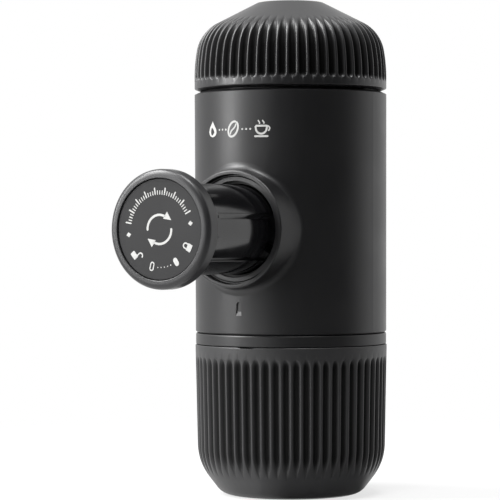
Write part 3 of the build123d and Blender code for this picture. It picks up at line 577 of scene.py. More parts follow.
# %% Finishes of the inner pieces
kept = [
    (body_finish, ["main_body"]),
    (collar_finish, ["collar_ring"]),
    (bore_finish, ["pump_barrel"]),
    (inner_finish, ["pump_cylinder", "intake_deck", "brew_head", "coffee_scoop", "spout_head"]),
    (pale_finish, ["pump_manifold", "plunger_rod", "thrust_washer"]),
    (steel_finish, ["manifold_screws", "inlet_ball", "outlet_ball", "knob_screw"]),
    (silicone_finish, ["cylinder_seal", "tank_gasket", "brew_gasket", "spout_seal"]),
    (rubber_finish, ["piston_seal", "tank_seal", "portafilter_seal"]),
    (screen_finish, ["intake_screen"]),
    (shower_finish, ["shower_screen"]),
    (basket_finish, ["filter_basket"]),
]
for finish, names in kept:
    for name in names:
        nodes[name].data.materials.clear()
        nodes[name].data.materials.append(finish)
print(sum(len(names) for finish, names in kept), "pieces keep their mesh")

# %% [markdown]
# ## A fluted skin
#
# The tank and the cup are gripped, so both carry sixty upright flutes. Each looks like the track of a
# ball-ended cutter: where it gets shallow it gets narrow too, which rounds its ends. Sixty boolean
# cutters could make it, and so could a bump, but a bump has no silhouette. Here the columns of the grid
# follow the flutes and crowd together where one narrows, so a few of them are enough.

# %% Flutes
flute_count = 60
flute_depth = 1.2
flute_mouth = 0.85
flute_stops = np.array([-1, -0.88, -0.7, -0.4, 0, 0.4, 0.7, 0.88, 1])


def fluted(outline, depth, turn, bluntness, ease):
    """A turned skin with flutes. Across a flute, t runs from -1 to 1 and the depth is (1 - |t| ^ bluntness)
    ^ ease of the deepest. The mouth is as wide as the root of the depth. Points move in along the
    outline's normal. Gives the skin and how deep each of its points lies, as a share of the deepest."""
    inward = left_of(outline)
    share = np.maximum(np.sqrt(depth / depth.max()), 0.22)
    pitch = 2 * np.pi / flute_count
    across = share[:, None] * flute_mouth * pitch / 2 * flute_stops[None, :]
    across = np.concatenate([across, np.full((len(outline), 1), pitch / 2)], axis=1)
    section = (1 - np.abs(np.append(flute_stops, 1.0)) ** bluntness) ** ease
    cut = depth[:, None] * section[None, :]
    centre = turn + pitch * np.arange(flute_count)
    angle = (centre[None, :, None] + across[:, None, :]).reshape(len(outline), -1)
    cut = np.tile(cut, (1, flute_count))
    radius = outline[:, :1] + inward[:, :1] * cut
    height = outline[:, 1:] + inward[:, 1:] * cut
    return upright(radius, height, angle), cut / depth.max()


# %% [markdown]
# ## Water tank
#
# A thick dome with a flat cap, which holds the water. Its outline is a chamfered foot, a short wall,
# two arcs that lean in over the shoulder, a straight cone and a small round edge. The flutes start in
# round scoops just above the foot and run out on the cone. A Solidify modifier could give it a wall,
# but it would copy the flutes to the inside, so the hollow has its own plain outline.

# %% Tank outline
tank_z = 127.9
chamfer_z = 128.6
tank_flute_z = 130.7
tank_scoop = 1.6
tank_top = 156.0
foot_r = 28.7
tank_r = 30.5
cap_r = 10.5
neck_r = 27.4
bore_r = 25.6
shoulder_start = (29.75, 140.8)
cone_start = (23.8, 149.2)
tank_turn = np.radians(3.4)

tank_side = tangent_arc((tank_r, tank_flute_z + tank_scoop), (0, 1), shoulder_start, 10)
side_lean = tank_side[-1] - tank_side[-2]
tank_shoulder = tangent_arc(tank_side[-1], side_lean, cone_start, 18)
cone_share = np.array([0.04, 0.09, 0.14, 0.19, 0.24, 0.3, 0.4, 0.6, 0.8, 0.93])
tank_cone = between(tank_shoulder[-1], (cap_r, tank_top), cone_share)
tank_cap = rounded([(*tank_cone[-2], 0), (cap_r, tank_top, 0.9), (0, tank_top, 0)])[1:]
scoop_rows = np.array([0, 0.03, 0.1, 0.2, 0.32, 0.46, 0.62, 0.8, 1.0])
tank_wall = np.stack([np.full(len(scoop_rows), tank_r), tank_flute_z + tank_scoop * scoop_rows], axis=-1)
tank_foot = rounded(
    [(neck_r, tank_z, 0), (foot_r, tank_z, 0.25), (tank_r, chamfer_z, 0.35), (tank_r, tank_flute_z, 0)]
)[:-1]
tank_outline = np.concatenate([tank_foot, tank_wall, tank_side[1:], tank_shoulder[1:], tank_cone, tank_cap])

# %% Tank skin
fade_heights = [143.0, 150.6]
hollow_top = 153.6
rise = np.clip((tank_outline[:, 1] - tank_flute_z) / tank_scoop, 0, 1)
scooped = rise * (2 - rise)
tank_walk = walked(tank_outline)
fade_start, fade_end = np.interp(fade_heights, tank_outline[:, 1], tank_walk)
fade = np.clip((tank_walk - fade_start) / (fade_end - fade_start), 0, 1)
tank_depth = flute_depth * scooped * (0.5 + 0.5 * np.cos(np.pi * fade))
tank_skin, tank_groove = fluted(tank_outline, tank_depth, tank_turn, bluntness=3.0, ease=1.25)

hollow_foot = [(neck_r, tank_z), (bore_r, tank_z)]
hollow_crown = tangent_arc((bore_r, 138.4), (0, 1), (22.6, 147.2), 8)
tank_hollow = np.concatenate([hollow_foot, hollow_crown, [(cap_r, hollow_top), (0, hollow_top)]])
hollow_angle = np.unwrap(np.arctan2(tank_skin[0, :, 1], tank_skin[0, :, 0]))
tank_inside = upright(tank_hollow[:, :1], tank_hollow[:, 1:], hollow_angle[None, :])
tank_grids = [tank_skin, tank_inside]
tank_shell = make_piece("tank_shell", "tank", tank_finish, tank_grids, groove=tank_groove)
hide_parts("water_tank")

# %% [markdown]
# ## Threads
#
# The tank's neck and the portafilter's neck screw into the body. A thread is a ridge on a helix: its
# height depends only on where a point lies between two turns, and it fades out over the first and
# last part of a turn, as a moulded thread does. A Screw modifier could wind it, but its ends would
# stay open and blunt.


# %% Threaded wall
thread_pitch = 3.2
thread_height = 0.62


def threaded(radius, low, high, turns, columns=180, rows=96):
    """A wall round the upright axis with a helical ridge. The phase of a point is its height over the
    pitch less its angle over a full turn, and the ridge is a flat-topped swell of that phase."""
    angle = np.linspace(0, 2 * np.pi, columns, endpoint=False)[None, :]
    z = np.linspace(low, high, rows)[:, None]
    phase = (z - low) / thread_pitch - angle / (2 * np.pi)
    run_in = np.clip(4 * (phase - 0.6), 0, 1) * np.clip(4 * (turns + 0.1 - phase), 0, 1)
    swell = np.clip(1.6 * (0.5 - np.abs((phase % 1) - 0.5)) * 2 - 0.75, 0, 1) * run_in
    swell[[0, -1]] = 0
    return upright(radius + thread_height * swell, z, angle)


# %% Tank neck
neck_z = 106.8
ring_z = 109.8
ring_top = 111.2
ring_r = 26.7
thread_z = 113.0
neck_foot = rounded(
    [(neck_r, thread_z, 0), (neck_r, ring_top, 0), (ring_r, ring_top, 0), (ring_r, ring_z, 0)]
    + [(neck_r, ring_z, 0), (neck_r, neck_z, 0.4), (bore_r, neck_z, 0.4), (bore_r, tank_z, 0)]
)
neck_cap = np.array([[neck_r, tank_z], [bore_r, tank_z]])
neck_grids = [threaded(neck_r, thread_z, tank_z, 3.6)]
neck_grids += [turned(outline, upright, 180) for outline in (neck_foot, neck_cap)]
tank_neck = make_piece("tank_neck", "tank", tank_finish, neck_grids, sharp=40)
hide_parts("water_tank")

# %% [markdown]
# ## Drinking cup
#
# The cup is the object's foot. It shares the flutes, but they are softer: they fade in over several
# millimetres below the rim and run out where the wall turns in towards the base. A shallow notch in
# the rim, at the front, helps a thumb pull the cup off. A boolean could cut it, but lowering the rim's
# points keeps the mesh in its rows.

# %% Cup outline
cup_height = 47.6
cup_flute_z = 44.0
cup_scoop = 3.2
cup_turn = np.radians(-0.8)
cup_r = 30.45
mouth_r = 27.6
# The next five are points of (radius, height).
foot_edge = (19.05, 0)
heel_top = (23.35, 1.9)
hip_top = (26.25, 5.65)
wall_foot = (29.8, 16.1)
mouth_foot = (27.5, 40)

cup_heel = tangent_arc(foot_edge, (1, 0), heel_top, 8)
cup_hip = np.linspace(cup_heel[-1], hip_top, 6)
cup_waist = tangent_arc(hip_top, np.subtract(hip_top, heel_top), wall_foot, 18)
wall_rows = np.array([20, 26, 32, 37, 40.8, 41.3, 41.8, 42.3, 42.7, 43.05, 43.35, 43.6, 43.85, cup_flute_z])
wall_radii = np.interp(wall_rows, [wall_foot[1], cup_height], [wall_foot[0], cup_r])
cup_wall = np.stack([wall_radii, wall_rows], axis=-1)
cup_rim = rounded(
    [(30.42, 46.0, 0), (cup_r, cup_height, 0.35), (mouth_r, cup_height, 0.35), (*mouth_foot, 0)]
)
cup_foot = [(0, 0), (12, 0), (18, 0)]
cup_outline = np.concatenate([cup_foot, cup_heel, cup_hip[1:], cup_waist[1:], cup_wall, cup_rim])

# %% Cup skin
run_out_z = 6.4
run_out_height = 7.7
fall = np.clip((cup_flute_z - cup_outline[:, 1]) / cup_scoop, 0, 1)
outer = np.arange(len(cup_outline)) < len(cup_outline) - len(cup_rim)
run_out = np.clip((cup_outline[:, 1] - run_out_z) / run_out_height, 0, 1)
cup_depth = outer * flute_depth * fall * (2 - fall) * (0.5 - 0.5 * np.cos(np.pi * run_out))
cup_skin, cup_groove = fluted(cup_outline, cup_depth, cup_turn, bluntness=2.2, ease=1.4)

bowl_edge = (21.4, 2.4)
bowl_hip = (24.75, 7.15)
bowl = tangent_arc(bowl_hip, np.subtract(bowl_hip, bowl_edge), (27.15, 14.0), 10)[::-1]
bowl_floor = rounded([(*bowl_hip, 0), (*bowl_edge, 2.0), (12, bowl_edge[1], 0)])[1:]
cup_hollow = np.concatenate([[mouth_foot, (27.4, 28)], bowl, bowl_floor, [(0, bowl_edge[1])]])
cup_angle = np.unwrap(np.arctan2(cup_skin[-1, :, 1], cup_skin[-1, :, 0]))
cup_inside = upright(cup_hollow[:, :1], cup_hollow[:, 1:], cup_angle[None, :])

# %% Rim notch
notch_middle = 3.2
notch_half = 2.2
notch_slope = 0.5
notch_depth = 0.35
from_middle = np.abs(cup_skin[..., 0] - notch_middle)
in_notch = np.clip((notch_half - from_middle) / notch_slope + 1, 0, 1) * (cup_skin[..., 1] < 0)
cup_skin[..., 2] = np.minimum(cup_skin[..., 2], cup_height - notch_depth * in_notch)
cup_grids = [cup_skin, cup_inside]
cup_shell = make_piece("cup_shell", "cup", cup_finish, cup_grids, groove=cup_groove)
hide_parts("drinking_cup")

# %% [markdown]
# ## Piston sleeve
#
# The glossy tube behind the knob. The collar's lugs slide in its two channels, so that a turn locks it,
# and a small ledge near the front end holds them there. Boolean cuts could make the channels, but here
# the cut is a product of two plain lines: how open it is along the tube, and how deep round the tube.

# %% Lines of the sleeve's channels
sleeve_r = 13.75
sleeve_inner_r = 11.4
sleeve_front = -68.1
sleeve_floor = -65.9
sleeve_back = -16.0
sleeve_edge = 0.3
screw_hole_r = 1.6
channel_depth = 1.1

# The place along the pump, how open the channel is and how high the ledge is.
sleeve_run = [(sleeve_front, 0, 0), (-64.68, 0, 0), (-64.61, 0.07, 0), (-64.59, 0.93, 0), (-64.5, 1, 0)]
sleeve_run += [(-62.8, 1, 0), (-62.71, 1, 0.07), (-62.69, 1, 0.93), (-62.6, 1, 1)]
sleeve_run += [(-60.8, 1, 1), (-60.71, 1, 0.93), (-60.69, 1, 0.07), (-60.6, 1, 0)]
sleeve_run += [(-30.8, 1, 0), (-30.71, 0.93, 0), (-30.69, 0.07, 0), (-30.6, 0, 0)]
sleeve_run += [(sleeve_back - sleeve_edge, 0, 0)]
# The degrees round the pump, how deep the channel is there and whether the ledge stands there.
channel_round = [(-90, 0, 0), (-44.5, 0, 0), (-44.05, 0.07, 0), (-43.95, 0.93, 0), (-43.4, 1, 0)]
channel_round += [(-10.5, 1, 0), (-10.05, 1, 0.07), (-9.95, 1, 0.93), (-9.5, 1, 1)]
channel_round += [(13.1, 1, 1), (13.3, 1.16, 1), (14.1, 1.16, 1), (14.3, 0.94, 1), (18.9, 0.09, 1)]
channel_round += [(19.4, 0.02, 1), (19.6, 0.18, 1), (20.4, 0.18, 1), (20.6, 0, 1), (87, 0, 1)]
print("sleeve", round(sleeve_back - sleeve_front, 1), "mm long, its channels", channel_depth, "mm deep")

# %% Sleeve
sleeve_run = refined(sleeve_run, 1.6)
channel_round = refined(channel_round, 3.0)
sleeve_angle = np.radians(np.concatenate([channel_round[:, 0], channel_round[:, 0] + 180]))[None, :]
cut = sleeve_run[:, 1:2] * np.tile(channel_round[:, 1], 2)
cut *= 1 - sleeve_run[:, 2:] * np.tile(channel_round[:, 2], 2)
sleeve_wall = on_pump(sleeve_r - channel_depth * cut, sleeve_run[:, :1], sleeve_angle)
sleeve_ends = np.array(
    [(sleeve_r, sleeve_back - sleeve_edge), (sleeve_r - sleeve_edge, sleeve_back)]
    + [(sleeve_inner_r, sleeve_back), (sleeve_inner_r, sleeve_floor), (screw_hole_r, sleeve_floor)]
    + [(screw_hole_r, sleeve_front), (sleeve_r, sleeve_front)]
)
sleeve_grids = [sleeve_wall, on_pump(sleeve_ends[:, :1], sleeve_ends[:, 1:], sleeve_angle)]
sleeve_tube = make_piece("sleeve_tube", "knob", sleeve_finish, sleeve_grids, sharp=35)
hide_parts("piston_sleeve")

# %% [markdown]
# ## Knob and its face
#
# A thick soft-edged bezel round a sunk disc, both turned outlines. A Bevel modifier could round the
# bezel's edge, but an arc in the outline has a known radius.

# %% Knob
knob_r = 17.8
knob_front = -72.85
knob_back = -66.1
edge_back = -67.75
socket_r = 13.85
recess_r = 15.1
recess_back = -70.75
head_r = 3.9
head_seat = -69.4
face_r = 15.0
face_front = -72.35

knob_outline = rounded(
    [(recess_r, knob_front, 0.2), (knob_r, knob_front, 1.6), (knob_r, edge_back, 0.4)]
    + [(16.4, edge_back, 0.25), (14.6, knob_back, 0.2), (socket_r, knob_back, 0), (socket_r, sleeve_front, 0)]
    + [(screw_hole_r, sleeve_front, 0), (screw_hole_r, head_seat, 0), (head_r, head_seat, 0)]
    + [(head_r, recess_back, 0), (recess_r, recess_back, 0)],
    closed=True,
    steps=9,
)
knob_grids = [turned(knob_outline, on_pump)]
knob_ring = make_piece("knob_ring", "knob", knob_finish, knob_grids, sharp=50)
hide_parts("piston_knob")

face_outline = rounded(
    [(0, face_front, 0), (8, face_front, 0), (face_r, face_front, 0.3)]
    + [(face_r, recess_back, 0), (0, recess_back, 0)]
)
face_grids = [turned(face_outline, on_pump, 128)]
face_disc = make_piece("face_disc", "knob", face_finish, face_grids, sharp=50)
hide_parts("knob_face")

# %% [markdown]
# ## Printed marks
#
# Pad-printed ink stands a few hundredths of a millimetre proud of the plastic. It could be a mask in the
# material, but then it can't be taken off. Here each pen stroke is a thin slab: a middle line with a
# half width at each point, drawn on a flat sheet of (u, v), then put on the knob or round the body.


# %% Pen strokes
def stroke(points, width):
    """A line drawn with a round pen. Near an end, the half width is that of the half circle. Of two stops
    less than 0.004 apart one is left out, or their corners would merge."""
    line = refined(points, 0.6)
    reach = walked(line)
    tip = width / 2 * (1 - np.cos(np.linspace(0, np.pi / 2, 6)))
    stops = np.unique(np.concatenate([reach, tip, reach[-1] - tip]))
    stops = np.append(stops[:-1][np.diff(stops) > 0.004], reach[-1])
    to_end = np.minimum(stops, reach[-1] - stops).clip(0) / (width / 2)
    half = width / 2 * np.sqrt(1 - (1 - to_end.clip(0, 1)) ** 2)
    return points_along(line, stops), half


def dot(u, v, width):
    """A round dot: a stroke just as long as it is wide."""
    return stroke([(u - width / 2, v), (u + width / 2, v)], width)


# %% Arcs and filled shapes
def bow(u, v, radius, low, high, tall=1.0):
    """Points on a circle's arc, from low to high degrees, stretched upwards by tall."""
    angle = np.radians(np.linspace(low, high, max(3, int(abs(high - low) / 12) + 1)))
    return np.stack([u + radius * np.cos(angle), v + tall * radius * np.sin(angle)], axis=-1)


def blade(start, end, width, belly):
    """A filled shape along a line. With t from 0 to 1, its width goes with the root of 4 t (1 - t) times
    sin(pi t / 2) ^ belly: 0 makes an oval, 1 a drop that starts in a point."""
    t = (1 - np.cos(np.linspace(0, np.pi, 15))) / 2
    half = width / 2 * np.sqrt(np.clip(4 * t * (1 - t), 0, 1)) * np.sin(np.pi * t / 2) ** belly
    return between(start, end, t), half


def plate(start, end, width, outline):
    """A filled shape along a line. Its outline is pairs: a share of the line and one of the half width."""
    share, half = np.array(outline, float).T
    return between(start, end, share), half * width / 2


def moved(marks, degrees, u, v):
    """Marks turned by some degrees and then shifted to (u, v)."""
    cos, sin = on_circle(np.radians(degrees))
    turn = np.array([[cos, sin], [-sin, cos]])
    return [(line @ turn + (u, v), half) for line, half in marks]


# %% Ink
def printing_ink(name, colour):
    """Matte ink that lies a little unevenly and has worn thin in specks."""
    finish = Finish(name, IOR=1.5)
    film = finish.noise(0.5, 3.0)
    worn = finish.ramp(finish.noise(1.1, 4.0), 0.66, 0.8)
    finish.bump(film, 0.004, 0.5)
    tint = finish.mix(0.5 * film + 0.5 * worn, colour, shade(colour, 0.8))
    return finish.paint(Base_Color=tint, Roughness=0.5 + 0.12 * film)


ink_finish = printing_ink("pale_ink", (0.40, 0.40, 0.39))
ink_levels = np.array([-0.01, 0.025, 0.025, -0.01])


# %% Slabs of ink
def printed(name, body, marks, place):
    """One piece of all marks. Each is a slab: its four corners stand the half width to both sides of its
    line, under and over the plastic's surface."""
    grids = []
    for line, half in marks:
        side = left_of(line) * half[:, None]
        corners = np.stack([line - side, line - side, line + side, line + side], axis=1)
        grids.append(place(corners[..., 0], corners[..., 1], ink_levels))
    make_piece(name, body, ink_finish, grids, sharp=30)


# %% Marks on the knob's face
def on_face(u, v, lift):
    """Lays a print flat on the knob's face."""
    return points_of(u, face_front - lift, pump_z + v)


def padlock(open_by):
    """A small padlock. Its bow is shut, or lifted and shifted to the side."""
    case_outline = [(0, 0), (0.01, 0.9), (0.12, 1), (0.88, 1), (0.99, 0.9), (1, 0)]
    case = plate((0, -1.5), (0, 0.15), 2.3, case_outline)
    left_end, right_end = [(-0.75, -0.17 * open_by)], [(0.75, 0.05 + 0.7 * open_by)]
    bow_line = np.concatenate([left_end, bow(0, 0.75, 0.75, 180, 0), right_end])
    return [case, stroke(bow_line + (1.5 * open_by, 0.25 * open_by), 0.42)]


mark_ring = 11.2


def on_ring(mark, angle, turn):
    """A mark turned by some degrees and moved to its angle on the ring of marks."""
    return moved(mark, turn, *(mark_ring * on_circle(np.radians(angle))))


# %% Print on the knob
pill_outline = np.concatenate([bow(0, 0.62, 0.58, 0, 180), bow(0, -0.62, 0.58, 180, 360), [(0.58, 0.62)]])
pill_open = [stroke(pill_outline, 0.36)]
pill_full = [stroke([(0, -1.3), (0, 1.3)], 1.5)]
lozenge = [plate((0, -0.85), (0, 0.85), 1.5, [(0, 0), (0.5, 1), (1, 0)])]

around = [(-104, pill_open), (-58, pill_full), (9, lozenge), (188, lozenge)]
around += [(-27, padlock(0)), (-140, padlock(1))]
around += [(angle, [dot(0, 0, 0.36)]) for angle in (-93, -87, -81, -75, -69)]
knob_marks = []
for angle, mark in around:
    knob_marks += on_ring(mark, angle, angle + 90)
for count, angle in enumerate(np.arange(26, 173, 4.5)):
    length, width = (2.2, 0.42) if count % 4 == 0 else (1.3, 0.3)
    knob_marks += on_ring([stroke([(0, -1.0), (0, length - 1.0)], width)], angle, angle - 90)
arrow_head = plate((3.35, 3.25), (4.9, 1.1), 2.5, [(0, 0), (0.01, 1), (1, 0)])
for half_turn in (0, 180):
    knob_marks += moved([stroke(bow(0, 0, 4.3, 42, 165), 0.7), arrow_head], half_turn + 20, 0, 0)
printed("knob_print", "knob", knob_marks, on_face)

# %% Marks on the body
body_r = 30.5
body_foot_r = 30.3
body_foot_z = 51.95
body_top_z = 126.8


def on_body(u, v, lift):
    """Wraps a print round the body's front. The angle is u over the radius, which shrinks by 0.2 from the
    top to the foot."""
    height_share = np.clip((v - body_foot_z) / (body_top_z - body_foot_z), 0, 1)
    radius = body_foot_r + (body_r - body_foot_r) * height_share + lift
    return points_of(radius * np.sin(u / body_r), -radius * np.cos(u / body_r), v)


def saucer_cup():
    """A cup with a handle on its saucer, and two curls of steam."""
    side = np.concatenate([[(-1.9, 0.9)], bow(0, 0.2, 1.75, 190, 350), [(1.9, 0.9), (-1.9, 0.9)]])
    handle = bow(1.95, 0.1, 0.75, -75, 80)
    saucer = [(-2.3, -2.3), (2.3, -2.3)]
    steam = np.stack([0.22 * np.sin(np.linspace(0, 5.5, 9)), np.linspace(1.5, 2.7, 9)], axis=-1)
    lines = [(side, 0.6), (handle, 0.45), (saucer, 0.6), (steam - (0.7, 0), 0.42), (steam + (0.7, 0), 0.42)]
    return [stroke(line, width) for line, width in lines]


bean_seam = np.stack([0.35 * np.sin(np.linspace(-2.6, 2.6, 11)), np.linspace(-2.0, 2.0, 11)], axis=-1)
bean = [stroke(bow(0, 0, 1.65, 90, 450, 1.5), 0.62), stroke(bean_seam, 0.45)]
water_drop = [blade((0, 2.9), (0, -2.2), 4.6, 1.0)]

body_marks = moved(water_drop, 0, -10.2, 0) + moved(bean, -28, -1.2, 0.1) + moved(saucer_cup(), 0, 8.6, 0)
for u in (-6.9, -5.5, -4.1, 2.2, 3.6, 5.0):
    body_marks.append(dot(u, 0, 0.62))
printed("body_print", "body", moved(body_marks, 0, -0.6, 114.9), on_body)

# %% [markdown]
# ## Portafilter
#
# The ring under the body, with a threaded neck that screws into it and a plug that carries the cup. It
# holds the basket. The frame's mesh could stay, but its neck is a plain wall, and once the portafilter
# is off, the thread is what the eye looks for. So the shell is turned again with the thread in place.

# %% Portafilter shell
plug_z = 33.8
plug_r = 26.0
flange_z = 47.8
flange_top = 51.3
seal_z = 53.5
seal_top = 54.9
seal_r = 26.7
holder_top = 59.6
holder_r = 27.4
spout_r = 2.0
inner_r = 22.6
inner_z = 36.2
holder_outer = rounded(
    [(spout_r, plug_z, 0), (plug_r, plug_z, 0.3), (plug_r, 42.55, 0.4), (27.25, 43.8, 0.4)]
    + [(27.25, flange_z, 0), (30.25, flange_z, 0.2), (30.25, flange_top, 0.5), (holder_r, flange_top, 0)]
    + [(holder_r, seal_z, 0), (seal_r, seal_z, 0), (seal_r, seal_top, 0), (holder_r, seal_top, 0)]
)
holder_neck = threaded(holder_r, seal_top, holder_top, 1.4, rows=60)
holder_inner = rounded(
    [(holder_r, holder_top, 0), (24.5, holder_top, 0), (24.5, 59.0, 0), (inner_r, 59.0, 0.15)]
    + [(inner_r, inner_z, 1.0), (spout_r, inner_z, 0), (spout_r, plug_z, 0)]
)
holder_grids = [turned(holder_outer, upright, 180), holder_neck, turned(holder_inner, upright, 180)]
holder = make_piece("portafilter_shell", "portafilter", body_finish, holder_grids, sharp=40)
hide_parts("portafilter")

# %% [markdown]
# ## Screws
#
# Each screw has a hexagon socket. A boolean with a six-sided prism could cut it. On a grid round the
# screw's axis it needs no cut: its edge is a radius that changes with the angle, the flat's distance
# over the cosine of the angle from the flat's middle.


# %% Socket screws
def screw(x, y, seat, head_r, head, shank_r, tip, socket_r):
    """A screw along the upright axis. head and tip are heights above (or below) the seat, and the head's
    top has a six-sided socket."""
    angle = np.linspace(0, 2 * np.pi, 24, endpoint=False)[None, :]
    flat = socket_r / np.cos(angle % (np.pi / 3) - np.pi / 6)
    deep = head * 0.4
    # The radius, how many times the socket's radius is added to it, and the height over the seat.
    rows = [(0, 0, deep), (0, 1, deep), (0, 1.04, head * 0.97), (head_r * 0.8, 0, head)]
    rows += [(head_r * 0.95, 0, head * 0.93), (head_r, 0, head * 0.72), (head_r, 0, 0)]
    rows += [(shank_r, 0, 0), (shank_r, 0, tip * 0.92), (shank_r * 0.6, 0, tip), (0, 0, tip)]
    rows = np.array(rows)
    radius = rows[:, :1] + rows[:, 1:2] * flat
    return upright(radius, seat + rows[:, 2:], angle) + np.array([x, y, 0])


# %% Screws of the deck and the shower
deck_spots = 21.0 * on_circle(np.radians([45, 135, 225, 315]))
deck_screw = {"seat": 105.0, "head_r": 2.2, "head": 1.3, "shank_r": 1.2, "tip": -6.0, "socket_r": 1.1}
deck_grids = [screw(x, y, **deck_screw) for x, y in deck_spots]
deck_screws = make_piece("deck_screw_set", "body", steel_finish, deck_grids, sharp=30)
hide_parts("deck_screws")
shower_grids = [screw(0, 0, seat=60.0, head_r=2.8, head=-1.2, shank_r=1.4, tip=3.8, socket_r=1.3)]
shower_screw = make_piece("shower_hex_screw", "body", steel_finish, shower_grids, sharp=30)
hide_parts("shower_screw")

# %% [markdown]
# ## Springs
#
# Round wire wound on a helix, with a closed coil at each end. A curve with a bevel could draw it, but
# its end coils would have to be placed by hand. One end of a spring goes with the plunger or the ball
# it pushes and the other stays. Here the whole spring is attached to the plunger or to its valve; what is
# kept is its length less the travel, which is 32 for the piston and 1.2 for the balls.

# %% Wound wire
def wound(place, low, high, mean_r, wire_r, turns):
    """Wire from low to high. Away from the closed end coils, the climb per turn swells by a smooth step,
    and the height is the sum of the climb so far. The first and the last row close the wire's ends."""
    turn = np.linspace(0, turns, 30 * turns + 1)
    swell = np.clip((np.minimum(turn, turns - turn) - 0.75) / 0.6, 0, 1)
    climbed = np.cumsum(swell**2 * (3 - 2 * swell))
    closed = 2.1 * wire_r * turn
    height = low + wire_r + closed + (high - low - 2 * wire_r - closed[-1]) * climbed / climbed[-1]
    wire = np.pad(np.full(len(turn), wire_r), 1)[:, None]
    turn, height = (np.pad(line, 1, mode="edge")[:, None] for line in (turn, height))
    section = np.linspace(0, 2 * np.pi, 10, endpoint=False)[None, :]
    return place(mean_r + wire * np.cos(section), height + wire * np.sin(section), 2 * np.pi * turn)


# %% Springs
valve_y = 23.5

return_grid = wound(on_pump, -63.5, 16.6, mean_r=10.45, wire_r=0.43, turns=10)
return_coil = make_piece("return_coil", "plunger", wire_finish, [return_grid])
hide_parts("return_spring")
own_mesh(return_coil)

for valve, low, high in (("inlet", 86.1, 89.82), ("outlet", 71.6, 74.82)):
    grid = wound(upright, low, high, mean_r=1.6, wire_r=0.2, turns=3) + np.array([0, valve_y, 0])
    valve_coil = make_piece(f"{valve}_coil", f"{valve}_valve", wire_finish, [grid])
    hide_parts(f"{valve}_spring")
    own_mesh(valve_coil)

# %% [markdown]
# ## Floor, lamps and flag
#
# The floor glows white but for a share that keeps the object's shadow. Three softboxes give the
# highlights. A dark satin object turns grey in a white room, so a black flag stands round it, from the
# camera's right to the back, with an apron on the floor. It shows in reflections only. A plain one would
# be less work, but its edges would show as lines, so it lifts to the room's white towards the back and
# at the apron's left end.

# %% Floor
floor_r = 6
floor_line = upright(floor_r, 0.0, np.linspace(0, 2 * np.pi, 96, endpoint=False))
floor = added("floor", bpy.data.meshes.new("floor"))
floor.data.from_pydata(floor_line, [], [list(range(len(floor_line)))])
floor_paint = Finish("white_floor", Base_Color=(0.88, 0.88, 0.88, 1.0), Roughness=0.9)
glow = floor_paint.node("ShaderNodeEmission", inputs={"Color": (1.0, 1.0, 1.0, 1.0), "Strength": 1.0})
seen = Varying(floor_paint, seen_directly(floor_paint.tree))
floor_x, floor_y = floor_paint.axes()[:2]
away = floor_paint.math("SQRT", floor_x * floor_x + floor_y * floor_y)
share = 0.72 + 0.28 * floor_paint.ramp(away, 0.05, 0.3)
both = {0: seen * share, 1: floor_paint.shader.outputs[0], 2: glow.outputs[0]}
blend = floor_paint.node("ShaderNodeMixShader", inputs=both)
floor_paint.feed(floor_paint.tree.nodes["Material Output"].inputs["Surface"], blend.outputs[0])
floor.data.materials.append(floor_paint.material)
print("floor", 2 * floor_r, "m across")


# %% Lamps
def lamp(name, turn, rise, distance, width, height, watts):
    """A softbox aimed at the object's middle. turn is its angle left of the camera, rise its angle up."""
    side = np.radians(turn)
    level = to_camera * np.cos(side) - to_right * np.sin(side)
    away = level * np.cos(np.radians(rise)) + np.array([0, 0, np.sin(np.radians(rise))])
    area = bpy.data.lights.new(name, "AREA")
    area.shape = "RECTANGLE"
    area.size = width
    area.size_y = height
    area.energy = watts
    softbox = added(name, area)
    softbox.location = Vector(away * distance) + Vector((0, 0, 0.08))
    softbox.rotation_euler = Vector(-away).to_track_quat("-Z", "Y").to_euler()
    print(name, "softbox", width, "x", height, "m at", turn, "degrees left")


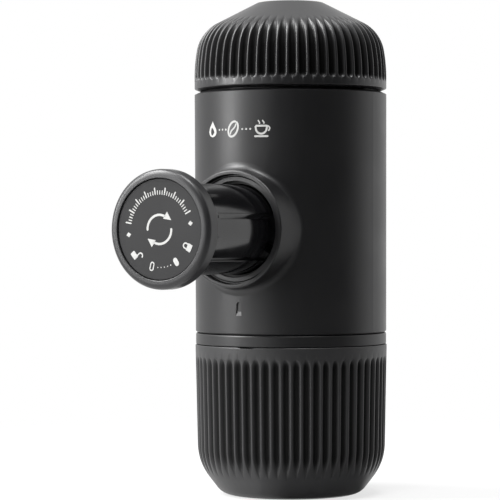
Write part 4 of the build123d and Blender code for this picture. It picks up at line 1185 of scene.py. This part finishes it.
lamp("key", 76, 23, 0.9, 0.24, 0.7, 8.8)
lamp("upper_left", 92, 50, 0.9, 0.42, 0.36, 9.0)
lamp("overhead", -4, 74, 0.8, 0.35, 0.35, 6.0)

# %% Black flag
flag_near = 0.0215
flag_reach = 0.25
apron_z = 0.0006
flag_turn = np.radians(np.linspace(26, -180, 64))[None, :]
apron = [(flag_near, apron_z), (0.1, apron_z), (flag_reach, apron_z)]
flag_side = np.array(apron + [(flag_reach, 0.3), (flag_reach, 1.0)])
flag_level = to_camera * np.cos(flag_turn)[..., None] - to_right * np.sin(flag_turn)[..., None]
flag_points = flag_side[:, :1, None] * flag_level + np.array([0, 0, 1.0]) * flag_side[:, 1:, None]
flag = added("flag", bpy.data.meshes.new("flag"))
flag_faces = grid_faces(*flag_points.shape[:2], wrap=False)
flag.data.from_pydata(flag_points.reshape(-1, 3), [], flag_faces.tolist())
print("flag spans", np.round(np.ptp(np.degrees(flag_turn))), "degrees")

# %% Cloth of the flag
cloth = {"Base_Color": (0.004, 0.004, 0.004, 1.0), "Specular_IOR_Level": 0.0, "Emission_Strength": 1.0}
flag_paint = Finish("graded_cloth", Roughness=1.0, **cloth)
flag_x, flag_y, flag_z = flag_paint.axes()
reach = flag_paint.math("SQRT", flag_x * flag_x + flag_y * flag_y)
behind = flag_paint.math("DIVIDE", -to_camera[0] * flag_x - to_camera[1] * flag_y, reach)
lift = flag_paint.ramp(behind, -0.42, 0.2)
on_floor = 1 - flag_paint.ramp(flag_z, 0.001, 0.02)
left = flag_paint.math("DIVIDE", -to_right[0] * flag_x - to_right[1] * flag_y, reach)
least = 0.14 + 0.16 * flag_paint.ramp(reach, 0.04, 0.12) + 0.55 * flag_paint.ramp(left, 0.0, 0.43)
lift = flag_paint.math("MAXIMUM", lift, least * on_floor)
flag_paint.paint(Emission_Color=flag_paint.mix(lift, (0.0, 0.0, 0.0), (1.0, 1.0, 1.0)))
flag.data.materials.append(flag_paint.material)
for ray in ("camera", "diffuse", "shadow", "transmission"):
    setattr(flag, f"visible_{ray}", False)
